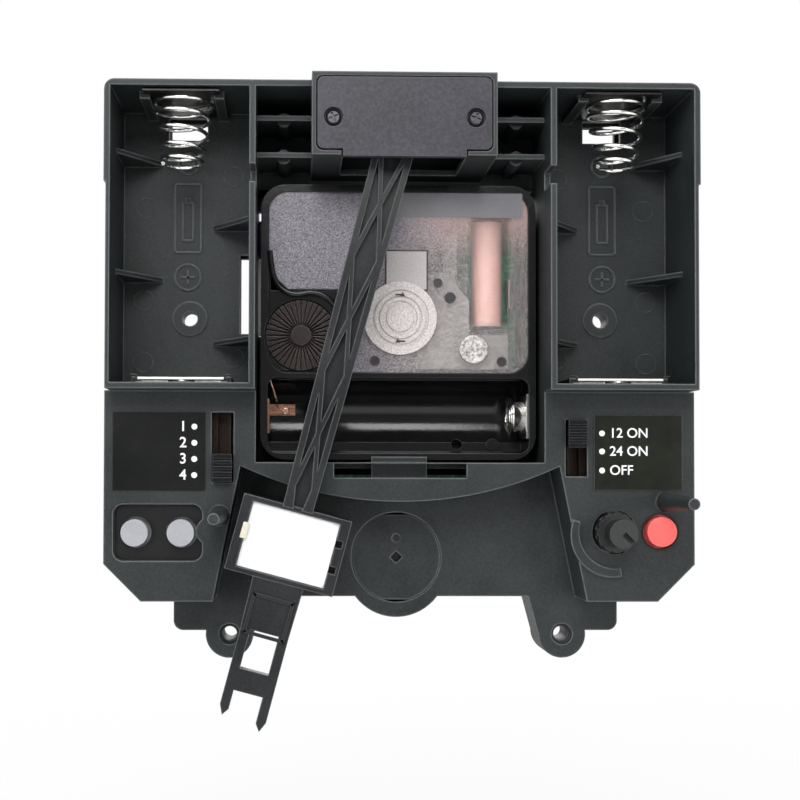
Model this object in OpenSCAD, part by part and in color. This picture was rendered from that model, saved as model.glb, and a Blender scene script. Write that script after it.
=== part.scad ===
// Pendulum and chime quartz clock movement, seen from its back: +X right, +Y towards the dial, +Z up.
// The origin is on the hand axis, in the front face that lies on the dial.

/* [Movement] */
// Width and height of the square quartz movement
movement_w = 56; // [54:0.1:58]
// Distance of the movement's back from the front face
movement_back = 15.5; // [15:0.1:17]
// Drop of the movement's centre below the hand axis
movement_drop = 0.8; // [0.6:0.1:1]
// Corner radius of the movement
movement_corner_r = 5; // [4:0.5:6]
// Thickness of the movement's walls
case_wall = 1.5; // [1.2:0.1:1.6]
// Thickness of the clear back cover
cover_t = 1.2; // [1:0.1:1.3]

/* [Hand shafts] */
// Outer radius of the fixing bush
bush_r = 3.95; // [3.8:0.05:4.2]
// Length of the fixing bush past the front face
bush_l = 10; // [8:0.5:14]
// Radius of the hour hand's seat
hour_seat_r = 2.5; // [2.4:0.05:2.55]
// Radius of the minute hand's seat
minute_seat_r = 1.5; // [1.4:0.05:1.55]
// Radius of the second hand's seat
seconds_seat_r = 0.5; // [0.4:0.05:0.55]
// How far each shaft stands out of the one round it
seat_step = 2.6; // [2:0.1:4]
// Running clearance of each shaft in its bore
shaft_play = 0.06; // [0.04:0.01:0.08]

/* [Cell bays] */
// Width of a C cell bay
bay_w = 27; // [26.6:0.1:29]
// Length of a C cell bay
bay_l = 57.8; // [57:0.1:60]
// Depth of the bay rims behind the front face
rim_depth = 28; // [27:0.1:28.4]
// Depth of the bay floors behind the front face
bay_floor = 7; // [6.6:0.1:7.4]
// Wire radius of the cell springs
spring_wire_r = 0.4; // [0.3:0.05:0.5]
// Coil radius of a cell spring at its plate
spring_base_r = 5.8; // [5.5:0.1:6.2]
// Coil radius of a cell spring at its tip
spring_tip_r = 4; // [3.6:0.1:4.4]
// Free length of a cell spring
spring_l = 13.5; // [12:0.5:14.5]
// Turns of a cell spring
spring_turns = 5; // [4:1:6]

/* [Housing] */
// Wall thickness of the housing
wall = 1.2; // [1:0.1:1.4]
// Floor thickness of the housing
floor_t = 1.2; // [1:0.1:1.4]
// Thickness of the front plate
plate_t = 1.6; // [1.4:0.1:1.8]
// Gap between the movement and its well
well_gap = 0.8; // [0.6:0.1:1]
// Depth of the control panels behind the front face
panel_depth = 21; // [20:0.1:22]
// Height of the panels, from the bays down to the bottom edge
panel_h = 41.8; // [41:0.1:44]
// How far the panels stand out beyond the bays at each side
panel_overhang = 0.6; // [0:0.1:0.8]
// Size of the cut corner at the foot of each panel
corner_cut = 7.4; // [5:0.1:7.6]
// Depth of the pendulum recess floor behind the front face
recess_floor = 9.5; // [9.2:0.1:10]
// How far the recess is wider than the movement's well on each side, at its top
recess_top_out = 3.0; // [2.4:0.1:3.2]
// How far the recess is wider than the movement's well on each side, at its bottom
recess_foot_out = 8.6; // [8.2:0.1:9.2]

/* [Pendulum] */
// Height of the pendulum's pivot above the hand axis
pivot_z = 38; // [37.5:0.1:38.5]
// Swing from the middle to each side, degrees
swing_half = 14.9; // [10:0.1:15.2]
// Distance of the magnet frame's centre below the movement's well, as it hangs straight down
magnet_below = 19.0; // [18.6:0.1:20.6]
// Width of the magnet frame
magnet_frame_w = 21.7; // [20:0.1:22]
// Height of the magnet frame
magnet_frame_h = 15.1; // [14:0.1:15.6]
// Width of the arm below the suspension box
arm_top_w = 7.75; // [7:0.05:8.4]
// Width of the arm above the magnet frame
arm_foot_w = 6; // [5.4:0.1:6.6]
// Distance of the hook's fork tips from the pivot
hook_drop = 122.8; // [120:0.1:126]
// Radius of the pivot pin
pivot_pin_r = 1.0; // [0.8:0.05:1.2]
// Running clearance of the arm on its pin
pivot_play = 0.08; // [0.04:0.01:0.1]
// Width of the suspension box
box_w = 35.8; // [35:0.1:37]
// How far the suspension box stands behind the bay rims
box_stand = 3.5; // [2.8:0.1:4.5]

/* [Controls] */
// Travel of each push button
button_travel = 0.8; // [0.5:0.1:0.9]
// Radius of the two small buttons
small_button_r = 2.67; // [2.4:0.01:2.9]
// Radius of the single button
monitor_button_r = 2.95; // [2.7:0.05:3.2]
// Clearance round each button
button_gap = 0.5; // [0.4:0.05:0.6]
// Travel of the four place switch
tune_travel = 8.1; // [7.5:0.1:8.2]
// Travel of the three place switch
mode_travel = 5.6; // [5:0.1:5.7]
// Radius of the volume knob's skirt
knob_r = 4.0; // [3.6:0.1:4.2]
// Turn of the volume knob, degrees
knob_turn = 280; // [240:5:300]

/* [Fixing lugs] */
// Distance between the two lug holes
lug_spacing = 68.8; // [67.5:0.1:70]
// Drop of the lug holes below the hand axis
lug_drop = 64.8; // [64.4:0.1:66]
// Radius of the lug holes
lug_hole_r = 1.45; // [1.2:0.05:1.7]
// Distance between the two screw holes in the bays
bay_hole_spacing = 86; // [84:0.1:88]
// Radius of the screw holes in the bays
bay_hole_r = 1.55; // [1.3:0.05:1.8]

/* [Hidden] */
$fn = 48;

// Small distances used all over
cut = 1;
seat_gap = 0.03;
fit_gap = 0.3;

// Colours
charcoal = [0.19, 0.2, 0.21];
dark_plastic = [0.1, 0.1, 0.11];
violet_grey = [0.29, 0.28, 0.31];
nickel = [0.78, 0.77, 0.74];
copper = [0.85, 0.5, 0.4];
steel = [0.5, 0.5, 0.52];
board_green = [0.05, 0.4, 0.2];
pale_plastic = [0.85, 0.84, 0.82];

// Outline of the housing, worked out from the movement in its middle
well_half = movement_w / 2 + well_gap;
bay_x0 = well_half + wall;
bay_x1 = bay_x0 + bay_w;
house_half = bay_x1 + wall;
panel_half = house_half + panel_overhang;
bay_mid = (bay_x0 + bay_x1) / 2;
well_top = movement_w / 2 - movement_drop + 0.7;
well_foot = -movement_w / 2 - movement_drop - 0.6;
box_z0 = well_top + 1.8;
box_h = 15.3;
top_z = box_z0 + box_h;
box_top = top_z + 0.8;
box_depth = rim_depth + box_stand;
bay_z1 = top_z - wall;
bay_z0 = bay_z1 - bay_l;
bay_foot = bay_z0 - wall;
panel_z0 = bay_foot - panel_h;
magnet_drop = pivot_z - well_foot + magnet_below;
frame_near = magnet_drop - magnet_frame_h / 2;
recess_top_half = well_half + recess_top_out;
recess_foot_half = well_half + recess_foot_out;
recess_r = norm([frame_near, magnet_frame_w / 2]) - 4.4;
recess_top_z = pivot_z - sqrt(recess_r * recess_r - recess_top_half * recess_top_half);
step_foot = panel_z0 - 7;
coil_z = pivot_z - magnet_drop - 0.5;
coil_cap_r = 9.1;
coil_hole_r = coil_cap_r + 0.15;
bump_r = 10.6;
bump_z = coil_z - 1.8;
corner_r = 2;

// A box between two corners
module block(x0, x1, y0, y1, z0, z1) {
    translate([x0, y0, z0]) cube([x1 - x0, y1 - y0, z1 - z0]);
}

// A flat outline drawn in X and Z, given a depth from y0 forward to y1
module deep(y0, y1) {
    translate([0, y1, 0]) rotate([90, 0, 0]) linear_extrude(y1 - y0) children();
}

// A round pin or hole along Y
module rod(x, z, r, y0, y1) {
    translate([x, y1, z]) rotate([90, 0, 0]) cylinder(h = y1 - y0, r = r);
}

// A rectangle in X and Z
module pane(x0, x1, z0, z1) {
    translate([x0, z0]) square([x1 - x0, z1 - z0]);
}

// A rectangle in X and Z with round corners
module round_pane(x0, x1, z0, z1, r) {
    pane(x0 + r, x1 - r, z0, z1);
    pane(x0, x1, z0 + r, z1 - r);
    for (x = [x0 + r, x1 - r], z = [z0 + r, z1 - r]) translate([x, z]) circle(r);
}

// The same thing on both sides
module both_sides() {
    children();
    mirror([1, 0, 0]) children();
}

// Outline of the control panels, drawn in by d
module panel_outline(d) {
    x = panel_half - d;
    z1 = bay_foot - d;
    z0 = panel_z0 + d;
    c = corner_cut - 0.586 * d;
    polygon([[-x, z1], [x, z1], [x, z0 + c], [x - c, z0], [c - x, z0], [-x, z0 + c]]);
}

// Outline of the pendulum recess, grown by d
module recess_outline(d) {
    difference() {
        polygon([[-recess_top_half - d, recess_top_z + 12], [recess_top_half + d, recess_top_z + 12],
                 [recess_top_half + d, recess_top_z], [recess_foot_half + d, panel_z0 - cut],
                 [-recess_foot_half - d, panel_z0 - cut], [-recess_top_half - d, recess_top_z]]);
        translate([0, pivot_z]) circle(recess_r - d, $fn = 160);
    }
}

// The panels' face, with the well and the recess left out, drawn in by d
module panel_face(d) {
    difference() {
        panel_outline(d);
        pane(-well_half - d, well_half + d, well_foot - d, bay_foot + cut);
        recess_outline(d);
    }
}

// Outline of one lug and the step beside it
lug_r = 4.9;
lug_x = lug_spacing / 2;
step_x0 = lug_x - 7;
step_x1 = lug_x + 11.5;
module lug_outline() {
    translate([lug_x, -lug_drop]) circle(lug_r);
    polygon([[step_x0, panel_z0], [step_x1, panel_z0], [step_x1, step_foot + corner_r],
             [step_x1 - corner_r, step_foot], [lug_x, step_foot], [lug_x - lug_r, -lug_drop]]);
    translate([step_x1 - corner_r, step_foot + corner_r]) circle(corner_r);
}

// Places and sizes of the controls on the panels
button_tray = [-panel_half + 1.9, -panel_half + 19.5, panel_z0 + 8, panel_z0 + 19.2];
tray_depth = 1.4;
set_x = -panel_half + 6.2;
reset_x = set_x + 9.1;
button_z = panel_z0 + 13.6;
tune_slot = [-recess_top_half - 5.7, -recess_top_half - 1.35, bay_foot - 18.3, bay_foot - 4.35];
mode_slot = [recess_top_half + 1.2, recess_top_half + 5.5, bay_foot - 16.9, bay_foot - 5.55];
switch_side = recess_top_half + 1.95;
monitor_x = panel_half - 6.9;
monitor_z = panel_z0 + 13.95;
knob_x = panel_half - 16.1;
knob_z = panel_z0 + 13.8;
board_back = 13;
board_t = 1.6;
board_inset = wall + 0.6;
board_top = well_foot - 2.5;
board_screw_at = [[panel_half - 5, bay_foot - 5.3], [panel_half - 8.5, panel_z0 + 5]];
plate_screw_at = [[bay_x1 - 4, bay_z1 - 6], [bay_x1 - 4, bay_z0 + 5], [panel_half - 15.5, panel_z0 + 4.5]];
light_slot = [-bay_x0 - 2.6, -well_half + 1.4, -2.5, 14.1];

// Screw bosses that stand behind the front plate: three on each side
screw_r = 1.1;
boss_r = 2.6;
module plate_bosses() {
    for (p = plate_screw_at)
        rod(p[0], p[1], boss_r, p[1] < bay_foot ? -panel_depth + floor_t - 0.1 : -bay_floor + 0.1, -plate_t);
}

// One cell bay: a box open to the back, with a hollow in front of its floor
module bay_shell() {
    difference() {
        deep(-rim_depth, -plate_t) {
            pane(well_half, house_half - corner_r, bay_foot, top_z);
            pane(well_half, house_half, bay_foot, top_z - corner_r);
            translate([house_half - corner_r, top_z - corner_r]) circle(corner_r);
        }
        block(bay_x0, bay_x1, -rim_depth - cut, -bay_floor, bay_z0, bay_z1);
        block(bay_x0, bay_x1, -bay_floor + floor_t, cut, bay_z0, bay_z1);
        // The inner wall is cut low for a finger beside the spring
        block(well_half - cut, bay_x0 + 0.2, -rim_depth - cut, -rim_depth + 7, notch_z, notch_z + notch_h);
        // The outer wall steps in below the same height
        block(house_half - 0.4, house_half + cut, -rim_depth - cut, -rim_depth + 9, bay_foot - cut, notch_z);
        // Window in the floor under the spring
        block(bay_mid - 4, bay_mid + 4, -bay_floor - cut, cut, bay_z1 - 5.7, bay_z1 - 1);
    }
    bay_cradle();
    plate_slots();
}

// Thin gussets that stand on the bay floor and hold the cell
notch_z = 25.1;
notch_h = 3.5;
gusset_t = 1.0;
gusset_l = 8.2;
gusset_h = 13;
module gusset(x, z, side) {
    translate([x, 0, z - gusset_t / 2]) linear_extrude(gusset_t)
        polygon([[-side * 0.2, -bay_floor + 0.2], [side * gusset_l, -bay_floor + 0.2],
                 [side * gusset_l, -bay_floor - 0.4], [-side * 0.2, -bay_floor - gusset_h]]);
}
module bay_cradle() {
    for (z = [19.6, -4.6]) gusset(bay_x0, z, 1);
    for (z = [33.0, 8.7]) gusset(bay_x1, z, -1);
}

// Moulded slots that take the spring's plate and the plus contact
plate_w = 15;
contact_w = 18;
plate_thick = 0.4;
slot_lip = 1.0;
slot_depth = plate_thick + 2 * seat_gap;
plate_back = -rim_depth + 1.4;
contact_z = bay_z0 + 0.5;
contact_back = -rim_depth + 6.5;
plate_z = bay_z1 - 0.5;
module plate_slots() {
    for (s = [-1, 1]) {
        x = bay_mid + s * (plate_w / 2 + seat_gap);
        block(min(x, x + s * 0.8), max(x, x + s * 0.8), plate_back + 3, -bay_floor + 0.1,
              plate_z - slot_lip, bay_z1 + 0.1);
        block(min(x - s * 1.2, x + s * 0.8), max(x - s * 1.2, x + s * 0.8), plate_back + 3, -bay_floor + 0.1,
              plate_z - slot_lip, plate_z - slot_depth / 2);
        c = bay_mid + s * (contact_w / 2 + seat_gap);
        block(min(c, c + s * 0.8), max(c, c + s * 0.8), contact_back, -bay_floor + 0.1,
              bay_z0 - 0.1, contact_z + slot_depth / 2 + 0.8);
        block(min(c - s * 1.2, c + s * 0.8), max(c - s * 1.2, c + s * 0.8), contact_back, -bay_floor + 0.1,
              contact_z + slot_depth / 2, contact_z + slot_depth / 2 + 0.8);
    }
}

// The floor, top wall and ribs between the bays, either side of the suspension box
bridge_rib_t = 1.0;
bridge_rib_z = [top_z - 5.7, box_z0 + 2.2];
module top_bridge() {
    difference() {
        block(-well_half - 0.1, well_half + 0.1, -bay_floor, -plate_t, well_top, top_z);
        block(-well_half, well_half, -bay_floor + floor_t, cut, well_top + wall, bay_z1);
    }
    block(-well_half - 0.1, well_half + 0.1, -rim_depth, -bay_floor, bay_z1, top_z);
    both_sides() {
        for (z = bridge_rib_z)
            block(box_w / 2 - 0.1, well_half + 0.1, -panel_depth, -bay_floor + 0.1, z - bridge_rib_t / 2,
                  z + bridge_rib_t / 2);
    }
}

// The box that the pendulum hangs in
box_wall = 1.2;
box_cover_t = 1.5;
box_rim_t = 0.8;
box_back = -box_depth + box_cover_t;
box_screw_x = box_w / 2 - 4.15;
box_screw_z = pivot_z - 1.1;
box_mouth_half = 11.9;
pin_boss_r = 3;
hub_back = -27;
hub_front = -23;
module suspension_box() {
    difference() {
        block(-box_w / 2, box_w / 2, box_back, -bay_floor + 0.1, box_z0, box_top);
        block(-box_w / 2 + box_wall, box_w / 2 - box_wall, box_back - cut, -bay_floor, box_z0 + box_wall,
              top_z - box_wall);
        block(-box_mouth_half, box_mouth_half, box_back - cut, -bay_floor - 6, box_z0 - cut,
              box_z0 + box_wall + cut);
    }
    // A low rim round the cover
    difference() {
        block(-box_w / 2, box_w / 2, -box_depth + 0.3, box_back + 0.1, box_z0, box_top);
        deep(-box_depth - cut, box_back + cut)
            round_pane(-box_w / 2 + box_rim_t, box_w / 2 - box_rim_t, box_z0 + box_rim_t, box_top - box_rim_t, 1.4);
        block(-box_mouth_half - fit_gap, box_mouth_half + fit_gap, -box_depth - cut, box_back + cut, box_z0 - cut,
              box_z0 + 2);
    }
    // Posts for the cover's screws
    both_sides() difference() {
        rod(box_screw_x, box_screw_z, 2.2, box_back, -bay_floor + 0.1);
        rod(box_screw_x, box_screw_z, screw_r - 0.1, box_back - cut, box_back + 9);
    }
    // The boss that carries the pivot pin
    difference() {
        rod(0, pivot_z, pin_boss_r, hub_front + fit_gap, -bay_floor + 0.1);
        rod(0, pivot_z, pivot_pin_r + seat_gap, hub_front - cut, hub_front + 8);
    }
}

// The control panels and the strip that joins them, hollow from the front
module panel_shell() {
    difference() {
        deep(-panel_depth, -plate_t) panel_face(0);
        deep(-panel_depth + floor_t, cut) panel_face(wall);
        // Slot in the strip, over the top edge of the circuit board
        block(-13.2, 13.2, -panel_depth - cut, -board_back - 2, board_top - 0.55, well_foot - 0.2);
        block(tune_slot[0], tune_slot[1], -panel_depth - cut, -panel_depth + 3, tune_slot[2], tune_slot[3]);
        block(mode_slot[0], mode_slot[1], -panel_depth - cut, -panel_depth + 3, mode_slot[2], mode_slot[3]);
        deep(-panel_depth - cut, -panel_depth + tray_depth)
            round_pane(button_tray[0], button_tray[1], button_tray[2], button_tray[3], 2);
        // The recess walls are thinner beside the switches
        both_sides() block(switch_side - fit_gap, switch_side + 3, -panel_depth + floor_t, cut,
                           tune_slot[2] - 1.8, recess_top_z + 3);
        rod(monitor_x, monitor_z, monitor_button_r + button_gap, -panel_depth - cut, -panel_depth + 3);
        rod(knob_x, knob_z, knob_r + 0.4, -panel_depth - cut, -panel_depth + 3);
    }
    // The sunk floor round the two small buttons
    difference() {
        deep(-panel_depth + tray_depth, -panel_depth + tray_depth + floor_t)
            round_pane(button_tray[0] - 1.2, button_tray[1] + 1.2, button_tray[2] - 1.2, button_tray[3] + 1.2, 3);
        for (x = [set_x, reset_x])
            rod(x, button_z, small_button_r + button_gap, -panel_depth, -panel_depth + 5);
    }
    difference() {
        deep(-panel_depth + 0.1, -panel_depth + tray_depth + 0.1)
            round_pane(button_tray[0] - 1.2, button_tray[1] + 1.2, button_tray[2] - 1.2, button_tray[3] + 1.2, 3);
        deep(-panel_depth - cut, -panel_depth + tray_depth + cut)
            round_pane(button_tray[0], button_tray[1], button_tray[2], button_tray[3], 2);
    }
    volume_wedge();
    board_posts();
    panel_posts();
    movement_latch();
}

// The raised crescent that shows which way the volume rises
wedge_r0 = 7.2;
wedge_r1 = 8.6;
module volume_wedge() {
    deep(-panel_depth - 0.8, -panel_depth + 0.1) translate([knob_x, knob_z]) intersection() {
        difference() {
            translate([-0.5, -0.5]) circle(wedge_r1 - 0.2);
            circle(wedge_r0);
        }
        polygon([[0, 0], [-20, 6], [-20, -20], [3, -20]]);
    }
}

// Posts that the circuit board is screwed to
module board_posts() {
    both_sides() for (p = board_screw_at) difference() {
        rod(p[0], p[1], 2.2, -panel_depth + floor_t - 0.1, -board_back);
        rod(p[0], p[1], 0.9, -board_back - 4, -board_back + cut);
    }
}

// The two tapered posts that stand on the panels
post_l = 19;
post_at = [[-recess_top_half - 4.1, panel_z0 + 17], [panel_half - 5.7, panel_z0 + 19.9]];
module panel_posts() {
    for (p = post_at)
        translate([p[0], -panel_depth + 0.1, p[1]]) rotate([90, 0, 0]) cylinder(h = post_l + 0.1, r1 = 2, r2 = 1.1);
    // A round pillar that bites into the edge of the button tray
    rod(button_tray[1] + 1.6, post_at[0][1] - 3.1, 2.8, -panel_depth, -panel_depth + tray_depth + 0.1);
}

// The latch that holds the movement in its well
latch_w = 11.2;
module movement_latch() {
    block(-latch_w / 2, latch_w / 2, -movement_back - fit_gap - 1.6, -movement_back - fit_gap,
          well_foot - 3.6, well_foot + 1.2);
    block(-latch_w / 2, latch_w / 2, -panel_depth + 0.1, -movement_back - fit_gap, well_foot - 4.4, well_foot - 3.1);
}

// The floor of the pendulum recess, the bump at its foot and the lugs
module recess_shell() {
    difference() {
        union() {
            deep(-recess_floor, -plate_t) {
                intersection() {
                    panel_outline(0);
                    recess_outline(0.1);
                }
                translate([0, bump_z]) circle(bump_r);
            }
            both_sides() deep(-recess_floor, 0) difference() {
                lug_outline();
                pane(0, panel_half, panel_z0 + 0.1, 0);
            }
        }
        // Hollow behind the floor, round the drive coil
        deep(-recess_floor + floor_t, cut) {
            intersection() {
                panel_outline(wall);
                recess_outline(-wall);
            }
            translate([0, bump_z]) circle(bump_r - wall);
        }
        rod(0, coil_z, coil_hole_r, -recess_floor - cut, -recess_floor + 3);
        both_sides() {
            rod(lug_x, -lug_drop, lug_hole_r, -recess_floor - cut, cut);
            rod(lug_x, -lug_drop, lug_hole_r + 0.7, -recess_floor - cut, -recess_floor + 1.5);
            // The step beside each lug is cored out from the front
            block(lug_x + lug_r + 0.6, step_x1 - wall, -recess_floor + floor_t, cut, step_foot + wall, panel_z0 - wall);
        }
    }
}

module rear_housing() {
    color(charcoal) difference() {
        union() {
            both_sides() {
                bay_shell();
                plate_bosses();
                // Bosses round the fixing holes in the bay floors
                rod(bay_hole_spacing / 2, bay_hole_z, 3.6, -bay_floor - 0.5, -plate_t);
            }
            top_bridge();
            suspension_box();
            panel_shell();
            recess_shell();
        }
        both_sides() {
            rod(bay_hole_spacing / 2, bay_hole_z, bay_hole_r, -bay_floor - 2, cut);
            for (p = plate_screw_at) rod(p[0], p[1], screw_r, -plate_t - 4.1, cut);
        }
        // Slot in the floor under the left inner wall
        block(light_slot[0], light_slot[1], -bay_floor - 0.5, cut, light_slot[2], light_slot[3]);
    }
}
bay_hole_z = 0.6;

// The flat plate that closes the housing and lies on the dial
plate_boss_r = 9;
head_r = 2.2;
module front_plate() {
    color(charcoal) difference() {
        union() {
            deep(-plate_t, 0) round_pane(-house_half + 0.3, house_half - 0.3, bay_foot - 4, top_z - 0.3, corner_r);
            deep(-plate_t, 0) panel_outline(0.3);
            rod(0, bump_z, bump_r - 0.3, -plate_t, 0);
        }
        rod(0, 0, plate_boss_r + fit_gap, -plate_t - cut, cut);
        both_sides() {
            for (p = plate_screw_at) {
                rod(p[0], p[1], screw_r + 0.1, -plate_t - cut, cut);
                translate([p[0], 0.01, p[1]]) rotate([90, 0, 0])
                    cylinder(h = head_r - screw_r, r1 = head_r + 0.05, r2 = screw_r + 0.1);
            }
            rod(bay_hole_spacing / 2, bay_hole_z, bay_hole_r + 0.3, -plate_t - cut, cut);
            block(bay_mid - 4, bay_mid + 4, -plate_t - cut, cut, bay_z1 - 5.7, bay_z1 - 1);
        }
        // Windows beside the movement, where the light comes through
        block(light_slot[0], light_slot[1], -plate_t - cut, cut, light_slot[2], light_slot[3]);
        block(-well_half, -well_half + 2.1, -plate_t - cut, cut, 22.2, 24.1);
        block(well_half - 2.8, well_half, -plate_t - cut, cut, 22, 27);
    }
}

// A countersunk screw with a cross in its head, its head's face at y = 0
module flat_screw(l) {
    difference() {
        rotate([90, 0, 0]) rotate_extrude()
            polygon([[0, 0], [head_r, 0], [screw_r - seat_gap, head_r - screw_r], [screw_r - seat_gap, l - 1],
                     [0.2, l], [0, l]]);
        for (a = [45, 135]) rotate([0, a, 0]) block(-1.3, 1.3, -0.7, cut, -0.2, 0.2);
    }
}
module front_plate_screws() {
    color(steel) both_sides() for (p = plate_screw_at) translate([p[0], -0.05, p[1]]) flat_screw(plate_t + 3.6);
}

// The screwed cover of the suspension box
cover_inset = box_rim_t + fit_gap;
cover_screw_recess = 1.9;
module suspension_cover() {
    color(violet_grey) {
        difference() {
            deep(-box_depth, box_back) {
                round_pane(-box_w / 2 + cover_inset, box_w / 2 - cover_inset, box_z0 + cover_inset,
                           box_top - cover_inset, 1.2);
                pane(-box_mouth_half, box_mouth_half, box_z0 - 0.3, box_z0 + 2);
            }
            both_sides() {
                rod(box_screw_x, box_screw_z, cover_screw_recess, -box_depth - cut, -box_depth + 0.8);
                rod(box_screw_x, box_screw_z, screw_r, -box_depth - cut, box_back + cut);
            }
        }
        // The socket for the back end of the pivot pin
        difference() {
            rod(0, pivot_z, 2.6, box_back - 0.1, hub_back - fit_gap);
            rod(0, pivot_z, pivot_pin_r + seat_gap, box_back + 0.4, hub_back);
        }
    }
}

module suspension_screws() {
    color(steel) both_sides() translate([box_screw_x, -box_depth + 0.8, box_screw_z]) difference() {
        union() {
            rotate([90, 0, 0]) rotate_extrude()
                polygon([[0, 0], [1.5, 0], [1.5, 0.35], [1.1, 0.7], [0, 0.7]]);
            rod(0, 0, screw_r - 0.1 - seat_gap, -0.1, 8);
        }
        for (a = [20, 110]) rotate([0, a, 0]) block(-0.95, 0.95, -cut, -0.35, -0.18, 0.18);
    }
}

module pendulum_pivot_pin() {
    color(steel) rod(0, pivot_z, pivot_pin_r, box_back + 0.5, hub_front + 7.9);
}

// The round cap in the recess floor and the drive coil behind it
coil_floor = -recess_floor + floor_t;
module coil_cap() {
    color(charcoal) difference() {
        deep(-recess_floor, coil_floor) translate([0, coil_z]) intersection() {
            circle(coil_cap_r);
            pane(-coil_cap_r, coil_cap_r, -coil_cap_r + 0.35, coil_cap_r - 0.35);
        }
        deep(-recess_floor - cut, 0) translate([0, coil_z]) rotate(45) pane(-0.88, 0.88, -0.88, 0.88);
        rod(0, coil_z + 3.9, 0.85, -recess_floor - cut, -recess_floor + 0.4);
    }
}

flange_r = 8.6;
flange_t = 0.8;
coil_hub_r = 2.4;
coil_core_r = 1.1;
module drive_coil_bobbin() {
    color(dark_plastic) difference() {
        union() {
            rod(0, coil_z, flange_r, coil_floor, coil_floor + flange_t);
            rod(0, coil_z, flange_r, -plate_t - flange_t, -plate_t);
            rod(0, coil_z, coil_hub_r, coil_floor + 0.1, -plate_t - 0.1);
        }
        rod(0, coil_z, coil_core_r + seat_gap, coil_floor - cut, cut);
    }
}
module drive_coil() {
    color(copper) difference() {
        rod(0, coil_z, flange_r - 0.5, coil_floor + flange_t + seat_gap, -plate_t - flange_t - seat_gap);
        rod(0, coil_z, coil_hub_r + seat_gap, coil_floor - cut, cut);
    }
}
module drive_coil_core() {
    color(steel) rod(0, coil_z, coil_core_r, coil_floor + 1, -plate_t);
}

// The circuit boards behind the two panels and under the movement, their parts and their screws
module board_between(x0, x1) {
    color(board_green) difference() {
        deep(-board_back, -board_back + board_t) intersection() {
            difference() {
                panel_face(board_inset);
                pane(-well_half - 3, well_half + 3, board_top, 0);
            }
            pane(x0, x1, panel_z0, 0);
        }
        both_sides() {
            for (p = board_screw_at) rod(p[0], p[1], 1.1, -board_back - cut, 0);
            for (p = plate_screw_at) rod(p[0], p[1], boss_r + 0.4, -board_back - cut, 0);
        }
    }
}
module left_circuit_board() board_between(-panel_half, -well_half);
module right_circuit_board() board_between(well_half, panel_half);
module middle_circuit_board() board_between(-16, 16);
module melody_chip() {
    color(dark_plastic) translate([-bay_mid - 2.5, -board_back + board_t, bay_foot - 11.8])
        block(-4.5, 4.5, 0, 1.8, -6, 6);
}
module board_capacitors() {
    color(dark_plastic) translate([bay_mid, -board_back + board_t, bay_foot]) {
        rod(2.5, -11.8, 3.2, 0, 5);
        rod(9, -19.8, 2.4, 0, 6);
    }
}
module board_screws() {
    color(steel) both_sides() for (p = board_screw_at) translate([p[0], -board_back + board_t, p[1]]) {
        rod(0, 0, 1.8, 0, 1.2);
        rod(0, 0, 0.9 - seat_gap, -board_t - 3.5, 0.1);
    }
}

// A tube swept along points; each ring is turned to keep one side on the given outward direction
function ring_at(p, along, out, r, sides) =
    let (u = along / norm(along), o = out - (out * u) * u, n = o / norm(o), b = cross(u, n))
    [for (k = [0:sides - 1]) p + r * (cos(360 * k / sides) * n + sin(360 * k / sides) * b)];
module tube(path, outward, r, sides = 6) {
    n = len(path);
    rings = [for (i = [0:n - 1])
        each ring_at(path[i], path[min(i + 1, n - 1)] - path[max(i - 1, 0)], outward[i], r, sides)];
    walls = [for (i = [0:n - 2], k = [0:sides - 1], h = [0, 1])
        let (a = i * sides + k, b = i * sides + (k + 1) % sides)
        h == 0 ? [a, a + sides, b] : [b, a + sides, b + sides]];
    z = (n - 1) * sides;
    first = [for (k = [1:sides - 2]) [0, k, k + 1]];
    last = [for (k = [1:sides - 2]) [z, z + k + 1, z + k]];
    polyhedron(rings, concat(first, walls, last));
}

// A cell spring that narrows from its plate down to its tip, both ends turned square to the plate
cell_r = 13.1;
cell_axis_y = -bay_floor - cell_r;
spring_z = plate_z - plate_thick / 2;
rings_per_turn = 8;
lead = 2 * spring_wire_r;
lead_angle = asin(lead / spring_base_r);
coil_rings = rings_per_turn * spring_turns;
function coil_angle(i) = lead_angle + 360 * i / rings_per_turn;
function coil_out(i) = [cos(coil_angle(i)), sin(coil_angle(i)), 0];
function coil_along(i) = [-sin(coil_angle(i)), cos(coil_angle(i)), 0];
function coil_point(i) = let (t = i / coil_rings)
    coil_out(i) * (spring_base_r + (spring_tip_r - spring_base_r) * t)
    - [0, 0, 2 * lead + (spring_l - 4 * lead) * t];
tip_point = coil_point(coil_rings);
spring_path = concat(
    [[spring_base_r, 0, 0], [spring_base_r, 0, -lead],
     [spring_base_r, lead * (1 - cos(45)), -lead * (1 + sin(45))]],
    [for (i = [0:coil_rings]) coil_point(i)],
    [tip_point + coil_along(coil_rings) * lead * sin(45) - [0, 0, lead * (1 - cos(45))],
     tip_point + coil_along(coil_rings) * lead - [0, 0, lead],
     tip_point + coil_along(coil_rings) * lead - [0, 0, 2 * lead]]);
spring_out = concat([for (i = [0:2]) [1, 0, 0]], [for (i = [0:coil_rings]) coil_out(i)],
                    [for (i = [0:2]) coil_out(coil_rings)]);
module cell_spring(x) {
    color(nickel) translate([x, cell_axis_y, spring_z]) tube(spring_path, spring_out, spring_wire_r);
}
last_point = len(spring_path) - 1;
spring_gap = min([for (i = [0:last_point - 5], j = [i + 5:last_point]) norm(spring_path[i] - spring_path[j])])
    - 2 * spring_wire_r;
echo(least_gap_between_spring_curls_mm = spring_gap);
module left_battery_spring() cell_spring(-bay_mid);
module right_battery_spring() cell_spring(bay_mid);

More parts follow.
